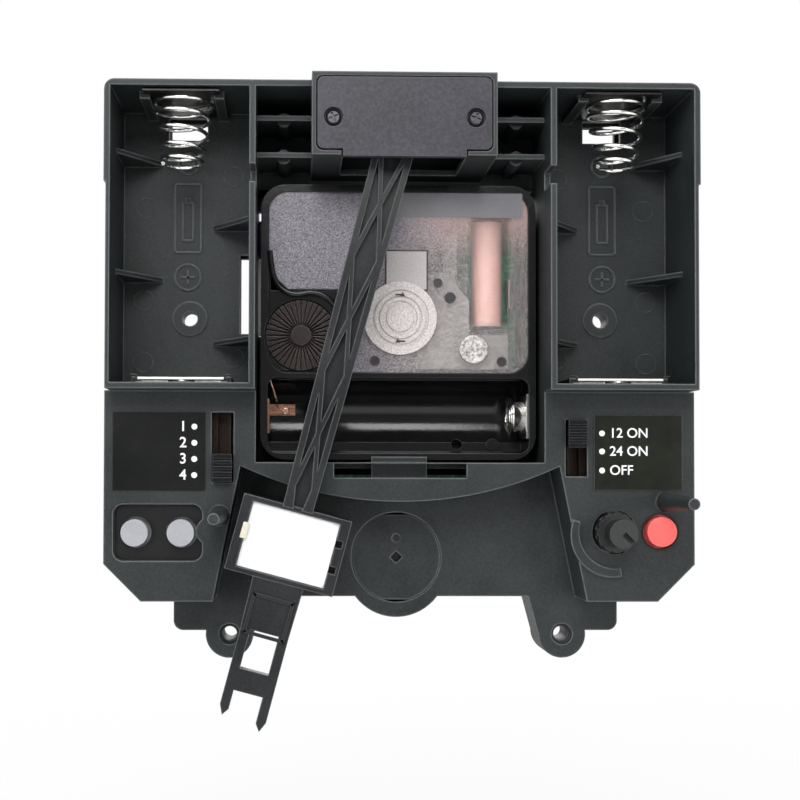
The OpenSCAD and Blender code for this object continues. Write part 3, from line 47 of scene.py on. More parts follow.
# The rear housing: one charcoal ABS moulding with the two cell bays, the movement's well, the
# pendulum recess and the two control panels. Its faces have a fine spark-eroded grain. Its edges,
# inner and outer, are paler, partly rubbing and partly a painted highlight, and its corners and
# grooves are darkened with painted shade.
class Wire:
    """A shader socket that can stand in a sum."""

    def __init__(self, socket):
        self.socket = socket

    def node(self, kind, settings=None, out=0, **values):
        """Adds any node; values are its sockets by name, or by number as in i0."""
        made = self.socket.id_data.nodes.new("ShaderNode" + kind)
        for name, value in (settings or {}).items():
            if name == "stops":
                ramp = made.color_ramp
                while len(ramp.elements) < len(value):
                    ramp.elements.new(0.5)
                for element, (place, colour) in zip(ramp.elements, value):
                    element.position = place
                    element.color = colour
            else:
                setattr(made, name, value)
        for name, value in values.items():
            numbered = name[0] == "i" and name[1:].isdigit()
            socket = made.inputs[int(name[1:]) if numbered else name.replace("_", " ")]
            if isinstance(value, Wire):
                socket.id_data.links.new(value.socket, socket)
            else:
                socket.default_value = value
        return Wire(made.outputs[out])

    def maths(self, operation, a, b=0.0):
        return self.node("Math", {"operation": operation}, i0=a, i1=b)

    def __add__(self, other):
        return self.maths("ADD", self, other)

    def __mul__(self, other):
        return self.maths("MULTIPLY", self, other)

    def __sub__(self, other):
        return self.maths("SUBTRACT", self, other)

    def __rsub__(self, other):
        return self.maths("SUBTRACT", other, self)

    def __truediv__(self, other):
        return self.maths("DIVIDE", self, other)

    def within(self, low, high):
        """0 at low, 1 at high, and straight in between."""
        return self.node("MapRange", {"clamp": True}, Value=self, From_Min=low, From_Max=high)

    def under(self, limit):
        return self.maths("LESS_THAN", self, limit)


def start_finish(name, **constants):
    """A new material: its shader, and the place on the object in millimetres."""
    material = bpy.data.materials.new(name)
    material.use_nodes = True
    shader = material.node_tree.nodes["Principled BSDF"]
    for socket, value in constants.items():
        shader.inputs[socket.replace("_", " ")].default_value = value
    place = Wire(material.node_tree.nodes.new("ShaderNodeTexCoord").outputs["Object"])
    place = place.node("VectorMath", {"operation": "SCALE"}, i0=place, Scale=1000)
    return material, shader, place


def feed(shader, **wires):
    """Links wires to a shader's sockets by name."""
    for name, wire in wires.items():
        wire.socket.id_data.links.new(wire.socket, shader.inputs[name.replace("_", " ")])


def noise(place, scale, detail=2.0, rough=0.5):
    """Clouds of grain from 0 to 1; the scale is in turns a millimetre."""
    return place.node("TexNoise", Vector=place, Scale=scale, Detail=detail, Roughness=rough)


def blend_of(mask, dark, light):
    """A colour between two, each a colour or a wire."""
    return mask.node("Mix", {"data_type": "RGBA"}, 2, Factor=mask, i6=dark, i7=light)


def rounded_normal(place, radius_mm):
    """The face's direction, turned softly over each edge."""
    return place.node("Bevel", {"samples": 4}, Radius=radius_mm * mm)


def edge_of(place, round_normal):
    """1 on an edge and 0 on a flat."""
    true_normal = place.node("NewGeometry", out=1)
    along = place.node("VectorMath", {"operation": "DOT_PRODUCT"}, 1, i0=round_normal, i1=true_normal)
    return (1 - along).within(0.02, 0.3)


def corner_of(place, reach_mm):
    """1 on an open face, falling to 0 deep in a corner or groove."""
    return place.node("AmbientOcclusion", {"samples": 4}, 1, Distance=reach_mm * mm)


def moulded(name, dark, light, edge, grain, edge_radius, rough=(0.42, 0.6), coat=0.0,
            grain_scale=5.5, corner_reach=0.0):
    """A moulded plastic: two close shades in clouds, a fine grain, edges of a third shade that are partly
    rubbing and partly a painted highlight, and painted shade in corners.
    """
    material, shader, place = start_finish(name, IOR=1.38, Coat_Weight=coat, Coat_Roughness=0.15)
    soft_edge = rounded_normal(place, edge_radius)
    clouds = noise(place, 0.06, 4.0, 0.6).within(0.3, 0.7)
    specks = noise(place, grain_scale * 0.5, 2.0, 0.6).within(0.35, 0.75)
    body = blend_of(clouds * 0.5 + specks * 0.5, dark, light)
    # Edges, inner and outer alike, take the third shade: partly rubbing, partly a painted highlight.
    rubbed_and_highlit_edge = edge_of(place, soft_edge) * 0.75
    if corner_reach:
        # Painted shade: the colour darkens deep in corners and grooves, where shade falls.
        open_face = corner_of(place, corner_reach).within(0.3, 0.8)
        painted_corner_shade = (0.002, 0.002, 0.003, 1)
        body = blend_of(open_face * 0.7 + 0.3, painted_corner_shade, body)
        rubbed_and_highlit_edge = rubbed_and_highlit_edge * open_face
    grain_height = noise(place, grain_scale, 3.0, 0.65)
    bumped = place.node("Bump", Strength=0.5, Distance=grain * mm, Height=grain_height, Normal=soft_edge)
    feed(shader, Base_Color=blend_of(rubbed_and_highlit_edge, body, edge),
         Roughness=clouds * (rough[1] - rough[0]) + rough[0], Normal=bumped)
    return material


def dress(piece, material):
    """Gives a CAD node or a new piece its finish."""
    if not piece.material_slots:
        piece.data.materials.append(material)
    for held in piece.material_slots:
        held.material = material


charcoal = moulded("charcoal_abs", (0.009, 0.012, 0.013, 1), (0.035, 0.04, 0.041, 1),
                   (0.34, 0.36, 0.365, 1), grain=0.035, edge_radius=0.55, grain_scale=4.5,
                   corner_reach=1.6)
dress(nodes["rear_housing"], charcoal)


# Marks moulded into the floor of each cell bay: a frame round a drawing of the cell, a plus and
# a minus in a ring, and the faint rounds that the mould's ejector pins leave. They stand a
# quarter of a millimetre proud, in the housing's own plastic.
quarter_turn = math.radians(90)


def alone():
    bpy.ops.object.select_all(action="DESELECT")


def only(piece):
    alone()
    piece.select_set(True)
    bpy.context.view_layer.objects.active = piece


def thicken(piece, height, softened=0.0):
    """Raises a flat piece backwards by a height, and breaks its edges."""
    bpy.ops.object.mode_set(mode="EDIT")
    bpy.ops.mesh.select_all(action="SELECT")
    bpy.ops.mesh.extrude_region_move(TRANSFORM_OT_translate={"value": (0, -height * mm, 0)})
    bpy.ops.mesh.select_all(action="SELECT")
    bpy.ops.mesh.normals_make_consistent(inside=False)
    bpy.ops.object.mode_set(mode="OBJECT")
    if softened:
        bevel = piece.modifiers.new("softened", "BEVEL")
        bevel.width = softened * mm
        bevel.segments = 2
        bpy.ops.object.modifier_apply(modifier=bevel.name)
    bpy.ops.object.transform_apply(location=True, rotation=True, scale=True)
    return piece


def hollow_out(width):
    """Leaves only a rim of this width of the flat face in hand."""
    bpy.ops.object.mode_set(mode="EDIT")
    bpy.ops.mesh.select_all(action="SELECT")
    bpy.ops.mesh.inset(thickness=width * mm)
    bpy.ops.mesh.delete(type="FACE")
    bpy.ops.object.mode_set(mode="OBJECT")


def disc(x, y, z, radius, height, rim=0.0, softened=0.0, sides=48):
    """A round plate on a face that looks back, or a ring where a rim is given; millimetres."""
    alone()
    bpy.ops.mesh.primitive_circle_add(vertices=sides, radius=radius * mm, fill_type="NGON",
                                      location=(x * mm, y * mm, z * mm), rotation=(quarter_turn, 0, 0))
    bpy.ops.object.transform_apply(location=True, rotation=True, scale=True)
    if rim:
        hollow_out(rim)
    return thicken(bpy.context.object, height, softened)


def bar(x, y, z, wide, high, height, rim=0.0, corner=0.0, softened=0.0, lean=0.0):
    """A rectangle on a face that looks back, or a frame where a rim is given; millimetres."""
    alone()
    bpy.ops.mesh.primitive_plane_add(size=1, location=(x * mm, y * mm, z * mm),
                                     rotation=(quarter_turn, math.radians(lean), 0))
    piece = bpy.context.object
    piece.scale = (wide * mm, high * mm, 1)
    bpy.ops.object.transform_apply(location=True, rotation=True, scale=True)
    if corner:
        bpy.ops.object.mode_set(mode="EDIT")
        bpy.ops.mesh.select_all(action="SELECT")
        bpy.ops.mesh.bevel(offset=corner * mm, segments=5, affect="VERTICES")
        bpy.ops.object.mode_set(mode="OBJECT")
    if rim:
        hollow_out(rim)
    return thicken(piece, height, softened)


def joined(name, parts, body, material):
    """One piece made of all the parts, dressed and set on its body."""
    alone()
    for part in parts:
        part.select_set(True)
    bpy.context.view_layer.objects.active = parts[0]
    if len(parts) > 1:
        bpy.ops.object.join()
    piece = bpy.context.object
    piece.name = name
    piece.data.name = name
    dress(piece, material)
    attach(piece, body)
    return piece


bay_floor = -7.0
bay_mid = 43.5
mark_height = 0.25
mark_line = 0.45
frame_z = 21.7
cell_z = 21.0
cell_tip_z = 25.6
plus_z = 9.3
minus_z = 33.2
pin_marks = ((-9.5, 30.5), (-9.6, -7.5), (9.2, 4.5), (8.7, 23.8), (9.3, -8.5))


def bay_marks(side):
    """The marks of one bay; side is -1 for the left and 1 for the right."""
    x = side * bay_mid
    parts = [
        bar(x, bay_floor, frame_z, 5.9, 14.8, mark_height, rim=mark_line, corner=0.8),
        bar(x, bay_floor, cell_z, 2.6, 8.4, mark_height, rim=mark_line, corner=0.3),
        bar(x, bay_floor, cell_tip_z, 1.2, 0.8, mark_height),
        disc(x, bay_floor, plus_z, 2.9, mark_height, rim=mark_line),
        bar(x, bay_floor, plus_z, 3.0, mark_line, mark_height),
        bar(x, bay_floor, plus_z, mark_line, 3.0, mark_height),
        disc(x, bay_floor, minus_z, 2.4, mark_height, rim=mark_line),
        bar(x, bay_floor, minus_z, 2.6, mark_line, mark_height)]
    for pin_x, pin_z in pin_marks:
        parts.append(disc(x + side * pin_x, bay_floor, pin_z, 2.2, 0.08, rim=0.3))
    return parts


joined("left_bay_marks", bay_marks(-1), "housing", charcoal)
joined("right_bay_marks", bay_marks(1), "housing", charcoal)


# The bridge's bosses: a round post through each rib beside the suspension box, and a pad above it,
# where the mould's ejector pins push. They are one with the ribs and end a little below their edge.
boss_height = 12.6
boss_radius = 1.5
boss_x = 23.4
pad_above = 3.4
bosses = []
for x in (-boss_x, boss_x):
    for rib_z in (39.3, 31.9):
        bosses.append(disc(x, bay_floor + 0.1, rib_z, boss_radius, boss_height, softened=0.3))
        bosses.append(disc(x, bay_floor, rib_z + pad_above, boss_radius, 0.3, softened=0.1))
joined("bridge_bosses", bosses, "housing", charcoal)


# The button tray's pad: a polished black sheet on the tray's floor, cut round the two small keys
# and round the pillar at its edge. A thin black ring round the red key is painted shade of its gap.
pit_black = moulded("pit_black_abs", (0.003, 0.003, 0.0035, 1), (0.008, 0.008, 0.009, 1),
                    (0.06, 0.06, 0.06, 1), grain=0.01, rough=(0.35, 0.45), edge_radius=0.1)
tray_floor = -19.6
tray_middle = (-48.1, -43.4)
tray_size = (17.3, 10.9)
pillar_at = (-37.7, -43.1)
pillar_clear = 2.95
key_clear = 0.5
panel_face = -21.0
shade_ring_wide = 0.4


def cut_out(piece, x, z, radius):
    """Cuts a round hole through a thin piece that lies across Y."""
    depths = [corner[1] / mm for corner in piece.bound_box]
    low, high = min(depths), max(depths)
    cutter = disc(x, high + 1, z, radius, high - low + 2)
    hole = piece.modifiers.new("hole", "BOOLEAN")
    hole.operation = "DIFFERENCE"
    hole.object = cutter
    only(piece)
    bpy.ops.object.modifier_apply(modifier=hole.name)
    bpy.data.objects.remove(cutter)


def key_place(key):
    """The middle and the radius of a push button's cap, as it stands in its hole."""
    low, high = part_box(key)
    flange = 1.0
    return (low.x + high.x) / 2 / mm, (low.z + high.z) / 2 / mm, (high.x - low.x) / 2 / mm - flange


tray_pad = bar(tray_middle[0], tray_floor, tray_middle[1], tray_size[0], tray_size[1], 0.05,
               corner=1.9)
for key in ("set_button", "reset_button"):
    x, z, radius = key_place(key)
    cut_out(tray_pad, x, z, radius + key_clear)
cut_out(tray_pad, pillar_at[0], pillar_at[1], pillar_clear)
joined("button_tray_pad", [tray_pad], "housing", pit_black)
# Painted shade: a black ring on the panel round the red key's gap.
x, z, radius = key_place("monitor_button")
shade_ring_radius = radius + key_clear + shade_ring_wide
key_shade_ring = disc(x, panel_face, z, shade_ring_radius, 0.06, rim=shade_ring_wide)
joined("red_key_shade_ring", [key_shade_ring], "housing", pit_black)


# The front plate: a flat charcoal moulding that closes the housing on the dial side, held by
# six black countersunk screws. A grey strip of film closes half of its light slot.
dress(nodes["front_plate"], charcoal)
slot_film = moulded("slot_film", (0.2, 0.205, 0.21, 1), (0.3, 0.305, 0.31, 1),
                    (0.5, 0.5, 0.5, 1), grain=0.006, rough=(0.3, 0.4), edge_radius=0.1)
slot_at = (-28.7, -1.2, 5.8)
film_wide, film_high, film_thick = 1.5, 16.4, 0.5
film_strip = bar(slot_at[0], slot_at[1], slot_at[2], film_wide, film_high, film_thick, softened=0.1)
joined("slot_film_strip", [film_strip], "housing", slot_film)


# Screws and steel parts. The screws are blackened steel, turned and then rolled, with a cross
# recess in each head, and the drive coil's core is black too. The pin, the stepper's core, rotor and
# stator, the push switches, the potentiometer and its shaft are left bright.
def metal(name, dark, light, rough, scratch=0.004, scale=(4, 4, 4)):
    """A plain metal: close shades in fine streaks, with a little bump."""
    material, shader, place = start_finish(name, Metallic=1.0)
    soft_edge = rounded_normal(place, 0.08)
    stretched = place.node("VectorMath", {"operation": "MULTIPLY"}, i0=place, i1=scale)
    streaks = noise(stretched, 1.0, 4.0, 0.65)
    bumped = place.node("Bump", Strength=0.4, Distance=scratch * mm, Height=streaks, Normal=soft_edge)
    feed(shader, Base_Color=blend_of(streaks.within(0.3, 0.7), dark, light),
         Roughness=streaks.within(0.2, 0.8) * 0.12 + rough, Normal=bumped)
    return material


black_steel = metal("blackened_steel", (0.03, 0.03, 0.035, 1), (0.09, 0.09, 0.095, 1), 0.3)
for name in ("front_plate_screws", "suspension_screws", "board_screws"):
    dress(nodes[name], black_steel)
bright_steel = metal("bright_steel", (0.5, 0.5, 0.5, 1), (0.72, 0.72, 0.71, 1), 0.22)
for name in ("pendulum_pivot_pin", "rotor", "coil_core", "stator", "button_switches", "volume_shaft",
             "volume_potentiometer"):
    dress(nodes[name], bright_steel)
dress(nodes["drive_coil_core"], black_steel)


# The suspension box's cover: a separate moulding in a slightly violet grey, smoother than the
# housing, held by the two black screws. The drive coil's cap is charcoal and pressed into its seat.
violet_grey = moulded("violet_grey_abs", (0.014, 0.013, 0.018, 1), (0.056, 0.053, 0.067, 1),
                      (0.24, 0.24, 0.26, 1), grain=0.03, rough=(0.4, 0.5), edge_radius=0.25,
                      grain_scale=3.0, corner_reach=0.8)
dress(nodes["suspension_cover"], violet_grey)
dress(nodes["coil_cap"], charcoal)


# The cells' contacts: nickel-plated steel sheet, folded and slid into slots of the housing. The
# plates under the springs are painted nearly black, a painted shade of the bays' tops.
nickel = metal("nickel_plate", (0.72, 0.72, 0.7, 1), (0.92, 0.91, 0.88, 1), 0.1, scratch=0.002)
for name in ("left_positive_contact", "right_positive_contact", "cell_spring_contact", "quartz_crystal"):
    dress(nodes[name], nickel)
# Painted shade: nickel darkened nearly to black, for parts that lie in shade.
painted_shade_nickel = metal("painted_shade_nickel", (0.03, 0.03, 0.03, 1), (0.09, 0.09, 0.088, 1), 0.3, scratch=0.003)
dress(nodes["left_spring_plate"], painted_shade_nickel)
dress(nodes["right_spring_plate"], painted_shade_nickel)


# The plus contacts' lips: the back edge of each sheet is folded over and painted near white, a
# painted highlight. A short hook past either end of the fold grips the housing.
# Painted highlight: nickel lifted nearly to white.
highlight_nickel = metal("highlight_nickel", (0.82, 0.8, 0.78, 1), (0.97, 0.95, 0.93, 1), 0.4, scratch=0.002)
lip_wide, lip_high, lip_up = 17.0, 0.5, 0.75
hook_long, hook_wide, hook_top = 1.2, 0.4, 1.45
sheet = 0.3


def contact_lip(name, node, side):
    """The fold of a plus contact, painted bright as a highlight, and its two hooks in painted shade."""
    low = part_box(node)[0]
    face, foot = low.y / mm, low.z / mm
    x = side * bay_mid
    fold = [bar(x, face, foot + lip_up, lip_wide, lip_high, sheet, softened=0.08)]
    hooks = []
    for end in (-1, 1):
        hook_x = x + end * (lip_wide + hook_wide) / 2
        tip_x = hook_x + end * hook_long / 2
        hooks.append(bar(hook_x, face, foot + 1.0, hook_wide, 0.9, sheet, softened=0.08))
        hooks.append(bar(tip_x, face, foot + hook_top, hook_long, 0.35, sheet, softened=0.08))
    joined(name, fold, "housing", highlight_nickel)
    joined(name + "_hooks", hooks, "housing", painted_shade_nickel)


contact_lip("left_contact_lip", "left_positive_contact", -1)
contact_lip("right_contact_lip", "right_positive_contact", 1)


# The cell springs: hard-drawn steel wire, coiled to a slight cone and nickel plated. Each starts
# with a closed turn flat on its plate, opens over four turns, and closes again at its tip.
wire_r = 0.4
base_r = 5.8
tip_r = 4.0
foot_turns = 0.85
open_turns = 4
closed_turns = 1.55
steps_a_turn = 28
spring_foot_y = -20.1


def spring_point(turns, top, length):
    """A place on the wire: one closed turn, the open turns, and one closed turn at the tip."""
    opened = min(max((turns - foot_turns) / open_turns, 0.0), 1.0)
    eased = opened * opened * (3 - 2 * opened) * 0.35 + opened * 0.65
    radius = base_r + (tip_r - base_r) * eased
    closed = 2 * wire_r * (min(turns, foot_turns) + max(turns - foot_turns - open_turns, 0.0))
    drop = wire_r + closed + eased * (length - 2 * wire_r - 2 * wire_r * closed_turns)
    angle = 2 * math.pi * turns
    return radius * math.cos(angle), radius * math.sin(angle), top - drop


def wound_spring(name, side, node):
    """A spring of swept wire in place of the CAD's plain coil."""
    low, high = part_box(node)
    top = high.z / mm
    length = (high.z - low.z) / mm
    count = int((open_turns + closed_turns) * steps_a_turn)
    curve = bpy.data.curves.new(name, "CURVE")
    curve.dimensions = "3D"
    curve.bevel_depth = wire_r * mm
    curve.bevel_resolution = 4
    curve.use_fill_caps = True
    wire = curve.splines.new("POLY")
    wire.points.add(count)
    for number, point in enumerate(wire.points):
        x, y, z = spring_point(number / steps_a_turn, top, length)
        point.co = ((side * bay_mid + x) * mm, (spring_foot_y + y) * mm, z * mm, 1)
    piece = bpy.data.objects.new(name, curve)
    bpy.context.collection.objects.link(piece)
    only(piece)
    bpy.ops.object.convert(target="MESH")
    piece = bpy.context.object
    bpy.ops.object.shade_smooth()
    dress(piece, nickel)
    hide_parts(node)
    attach(piece, "housing")


wound_spring("left_spring_wire", -1, "left_battery_spring")
wound_spring("right_spring_wire", 1, "right_battery_spring")


# The movement's plus contact: a folded strip of bare copper alloy at the left end of the AA trough,
# pushed down into a slot of the case.
copper_strip = metal("copper_strip", (0.2, 0.09, 0.05, 1), (0.75, 0.42, 0.3, 1), 0.25, scale=(0.4, 2, 2))
dress(nodes["cell_plus_contact"], copper_strip)


# Enamelled copper wire on the two coils, wound on their bobbins: its turns show as fine lines
# across the winding. The stepper's wire is finer and pinker than that of the drive coil.
def wound(name, dark, light, along, pitch, metallic):
    """Lacquered wire: light and dark lines across one axis, as far apart as the turns."""
    material, shader, place = start_finish(name, Metallic=metallic, Coat_Weight=0.3, Coat_Roughness=0.2)
    apart = place.node("SeparateXYZ", out=along, Vector=place)
    turn = apart.maths("PINGPONG", apart, pitch) / pitch
    patchy = noise(place, 0.5, 3.0)
    bumped = place.node("Bump", Strength=0.8, Distance=0.06 * mm, Height=turn)
    feed(shader, Base_Color=blend_of(turn * 0.6 + patchy.within(0.3, 0.7) * 0.4, dark, light),
         Roughness=patchy * 0.2 + 0.3, Normal=bumped)
    return material


pink_copper = wound("pink_copper_wire", (1.0, 0.52, 0.44, 1), (1.0, 0.74, 0.68, 1), 2, 0.14, 0.0)
dress(nodes["stepper_coil"], pink_copper)
red_copper = wound("copper_wire", (0.45, 0.16, 0.08, 1), (0.75, 0.36, 0.22, 1), 1, 0.12, 0.4)
dress(nodes["drive_coil"], red_copper)


# Circuit boards: green solder mask over copper tracks on glass-fibre sheet. Three are screwed
# down in the housing, and a small one lies in the movement.
def board_finish(name):
    material, shader, place = start_finish(name, Coat_Weight=0.5, Coat_Roughness=0.15, IOR=1.5)
    squared = {"feature": "DISTANCE_TO_EDGE", "distance": "CHEBYCHEV"}
    track = place.node("TexVoronoi", squared, Vector=place, Scale=0.35).under(0.08)
    colour = blend_of(track, (0.012, 0.16, 0.07, 1), (0.03, 0.3, 0.13, 1))
    bumped = place.node("Bump", Strength=0.6, Distance=0.04 * mm, Height=track)
    feed(shader, Base_Color=colour, Roughness=noise(place, 2.0) * 0.2 + 0.3, Normal=bumped)
    return material


board_green = board_finish("green_board")
for name in ("left_circuit_board", "right_circuit_board", "middle_circuit_board", "movement_board"):
    dress(nodes[name], board_green)


# Black parts inside: the coils' two bobbins and the movement's middle plate are moulded, and the
# melody chip and the capacitors are cast or sleeved in black.
black = moulded("black_abs", (0.012, 0.012, 0.013, 1), (0.02, 0.02, 0.021, 1), (0.12, 0.125, 0.125, 1),
                grain=0.006, rough=(0.3, 0.42), edge_radius=0.25)
for name in ("drive_coil_bobbin", "coil_bobbin", "middle_plate", "melody_chip", "board_capacitors"):
    dress(nodes[name], black)


# The slide switches: a dark tinned case behind each slot, with the black slider's ridges over it.
switch_case = metal("switch_case", (0.012, 0.01, 0.009, 1), (0.05, 0.035, 0.028, 1), 0.35, scratch=0.01)
dress(nodes["tune_switch_body"], switch_case)
dress(nodes["mode_switch_body"], switch_case)
slider_black = moulded("slider_black", (0.003, 0.003, 0.004, 1), (0.007, 0.007, 0.008, 1),
                       (0.3, 0.31, 0.32, 1), grain=0.006, rough=(0.2, 0.3), edge_radius=0.12,
                       corner_reach=0.6)
dress(nodes["tune_switch_knob"], slider_black)
dress(nodes["mode_switch_knob"], slider_black)


# The volume knob: one black moulding, pushed on its shaft. It has a fluted skirt, and a top a shade
# paler than the skirt, cut by the groove of its mark.
def knob_finish():
    material, shader, place = start_finish("volume_knob", IOR=1.5)
    soft_edge = rounded_normal(place, 0.2)
    depth = place.node("SeparateXYZ", out=1, Vector=place)
    top_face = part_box("volume_knob")[0].y / mm
    top = depth.under(top_face + 0.12)
    grain_height = noise(place, 6.0, 3.0, 0.6)
    bumped = place.node("Bump", Strength=0.5, Distance=0.01 * mm, Height=grain_height, Normal=soft_edge)
    body = blend_of(top, (0.012, 0.012, 0.013, 1), (0.02, 0.023, 0.022, 1))
    # Painted highlight: the knob's edges are lifted towards grey.
    feed(shader, Base_Color=blend_of(edge_of(place, soft_edge) * 0.35, body, (0.12, 0.12, 0.12, 1)),
         Roughness=grain_height * 0.2 + 0.3, Normal=bumped)
    return material


dress(nodes["volume_knob"], knob_finish())


# Labels: a dark printed film stuck on the left panel and a glossy one on the right. Beside each
# place of a switch is a white dot, and in the place of the words stand plain numbers, ON and OFF.
label_film = moulded("label_film", (0.003, 0.0035, 0.0035, 1), (0.007, 0.008, 0.007, 1),
                     (0.02, 0.02, 0.02, 1), grain=0.004, rough=(0.22, 0.3), edge_radius=0.05)
gloss_film = moulded("gloss_label_film", (0.004, 0.005, 0.003, 1), (0.014, 0.016, 0.009, 1),
                     (0.3, 0.31, 0.28, 1), grain=0.012, rough=(0.12, 0.2), edge_radius=0.2,
                     coat=0.3, grain_scale=0.9)
dress(nodes["tune_label"], label_film)
dress(nodes["mode_label"], gloss_film)
print_white = moulded("label_print", (0.8, 0.8, 0.8, 1), (0.88, 0.88, 0.88, 1),
                      (0.9, 0.9, 0.9, 1), grain=0.002, rough=(0.4, 0.5), edge_radius=0.02)
print_height = 0.04
dot_radius = 0.58


def words(x, y, z, text, size, align):
    """Printed characters that read from the back; millimetres."""
    alone()
    bpy.ops.object.text_add()
    made = bpy.context.object
    made.data.body = text
    made.data.size = size * mm
    made.data.align_x = align
    made.data.align_y = "CENTER"
    made.data.offset = 0.012 * size * mm
    made.data.extrude = print_height * mm / 2
    bpy.ops.object.convert(target="MESH")
    made = bpy.context.object
    made.rotation_euler = (quarter_turn, 0, 0)
    made.location = (x * mm, (y - print_height / 2) * mm, z * mm)
    bpy.ops.object.transform_apply(location=True, rotation=True, scale=True)
    return made


def label_print(name, node, dot_x, rows, text_x, align, size):
    """A dot for each row, with its text beside it."""
    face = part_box(node)[0].y / mm
    parts = []
    for z, text in rows:
        parts.append(disc(dot_x, face, z, dot_radius, print_height, sides=24))
        parts.append(words(text_x, face, z, text, size, align))
    joined(name, parts, "housing", print_white)


label_print("tune_label_print", "tune_label", -40.9,
            ((-22.4, "1"), (-25.6, "2"), (-28.8, "3"), (-32.0, "4")), -42.4, "RIGHT", 2.9)
label_print("mode_label_print", "mode_label", 40.2,
            ((-23.5, "12 ON"), (-27.1, "24 ON"), (-30.9, "OFF")), 41.7, "LEFT", 2.7)


# The three push buttons: two grey caps in the tray and a red one on the right panel, moulded with
# a flange below the panel that keeps each in its hole.
grey_key = moulded("grey_key", (0.3, 0.305, 0.33, 1), (0.4, 0.405, 0.43, 1), (0.55, 0.55, 0.6, 1),
                   grain=0.01, rough=(0.4, 0.5), edge_radius=0.25)
dress(nodes["set_button"], grey_key)
dress(nodes["reset_button"], grey_key)
red_key = moulded("red_key", (0.86, 0.12, 0.11, 1), (0.93, 0.17, 0.15, 1), (0.98, 0.4, 0.36, 1),
                  grain=0.006, rough=(0.3, 0.4), edge_radius=0.3)
dress(nodes["monitor_button"], red_key)


# The pendulum arm: black acetal, moulded in one with its web, crossed ribs, magnet frame and hook,
# and hung on the pin in the suspension box. The hook's neck has a raised border.
arm_black = moulded("arm_black_acetal", (0.004, 0.005, 0.006, 1), (0.022, 0.024, 0.026, 1),
                    (0.33, 0.34, 0.345, 1), grain=0.03, rough=(0.32, 0.45), edge_radius=0.35,
                    grain_scale=3.5, corner_reach=1.6)
dress(nodes["pendulum_arm"], arm_black)
swing_lean = 15.5
neck_at = (-26.0, -26.2, -59.6)
neck_wide, neck_high, border_height = 8.4, 8.2, 0.35
neck_border = bar(neck_at[0], neck_at[1], neck_at[2], neck_wide, neck_high, border_height,
                  rim=0.7, corner=0.3, softened=0.1, lean=swing_lean)
joined("hook_neck_border", [neck_border], "pendulum", black)


# A small cream tab at the left edge of the frame, where the white magnet's side face shows: its
# cream is that white side in painted shade.
side_tab_at = (-30.7, -26.3, -42.6)
side_tab_wide, side_tab_high, side_tab_thick = 1.2, 3.2, 0.5
shaded_side_tab = bar(side_tab_at[0], side_tab_at[1], side_tab_at[2], side_tab_wide, side_tab_high, side_tab_thick,
           corner=0.2, softened=0.12, lean=swing_lean)
side_shade_cream = moulded("cream_side_shade", (0.55, 0.52, 0.42, 1), (0.7, 0.67, 0.55, 1), (0.8, 0.78, 0.7, 1),
                grain=0.004, rough=(0.3, 0.4), edge_radius=0.1)
joined("magnet_side_shade", [shaded_side_tab], "pendulum", side_shade_cream)


# The magnet: a sintered block with a white coat, pushed into the arm's frame from the back, where
# it sits nearly flush.
white_coat = moulded("white_coat", (0.84, 0.84, 0.86, 1), (0.9, 0.9, 0.92, 1),
                     (0.95, 0.95, 0.96, 1), grain=0.004, rough=(0.3, 0.4), edge_radius=0.15)
dress(nodes["pendulum_magnet"], white_coat)


# The movement: a gloss black case that holds the AA cell's trough, and a smoky clear styrene cover
# with a frosted grain, which snaps on over the wheels and the coil.
gloss_black = moulded("gloss_black_abs", (0.003, 0.003, 0.0035, 1), (0.011, 0.011, 0.012, 1),
                      (0.13, 0.13, 0.135, 1), grain=0.05, rough=(0.08, 0.18), edge_radius=0.2,
                      coat=0.25, grain_scale=1.4, corner_reach=1.5)
dress(nodes["movement_case"], gloss_black)


def smoky():
    """Frosted smoky styrene: dense at the upper left, clearer to the right and over the coil."""
    material, shader, place = start_finish("smoky_clear_styrene", IOR=1.45)
    soft_edge = rounded_normal(place, 0.6)
    speck = noise(place, 2.6, 3.0, 0.75)
    fine_speck = noise(place, 7.0, 2.0, 0.7)
    x = place.node("SeparateXYZ", Vector=place)
    z = place.node("SeparateXYZ", out=2, Vector=place)
    cloud = noise(place, 0.35, 2.0)
    clear_side = (x + (z * -0.25) + cloud * 6).within(-3, 11)
    centre = 1 - x.maths("SQRT", x * x + z * z).within(6.5, 10.5)
    clear = x.maths("MAXIMUM", clear_side, centre)
    over_coil = x.within(14.0, 15.5) * (1 - x.within(22.0, 23.5)) * z.within(-2.5, -0.5)
    dense = blend_of(fine_speck.within(0.4, 0.62), (0.045, 0.042, 0.05, 1), (0.36, 0.34, 0.39, 1))
    pale = blend_of(speck.within(0.4, 0.65), (0.14, 0.125, 0.125, 1), (0.62, 0.56, 0.56, 1))
    blush = z.within(12, 20) * x.within(-2, 3) * 0.6
    pale = blend_of(blush, pale, (0.75, 0.5, 0.46, 1))
    bumped = place.node("Bump", Strength=0.9, Distance=0.06 * mm, Height=speck, Normal=soft_edge)
    see_through = clear * 0.62 + over_coil * 0.28 - edge_of(place, soft_edge) * 0.3
    feed(shader, Base_Color=blend_of(clear, dense, pale), Alpha=0.96 - see_through + blush * 0.25,
         Roughness=fine_speck * 0.25 + 0.2, Normal=bumped)
    return material


dress(nodes["movement_cover"], smoky())


# What is moulded on the cover: rings and two small arrows round the hand axis, a square field, a
# boss over the rotor, and a few round dimples. The clear styrene is frosted almost white there.
cover_face = -15.5


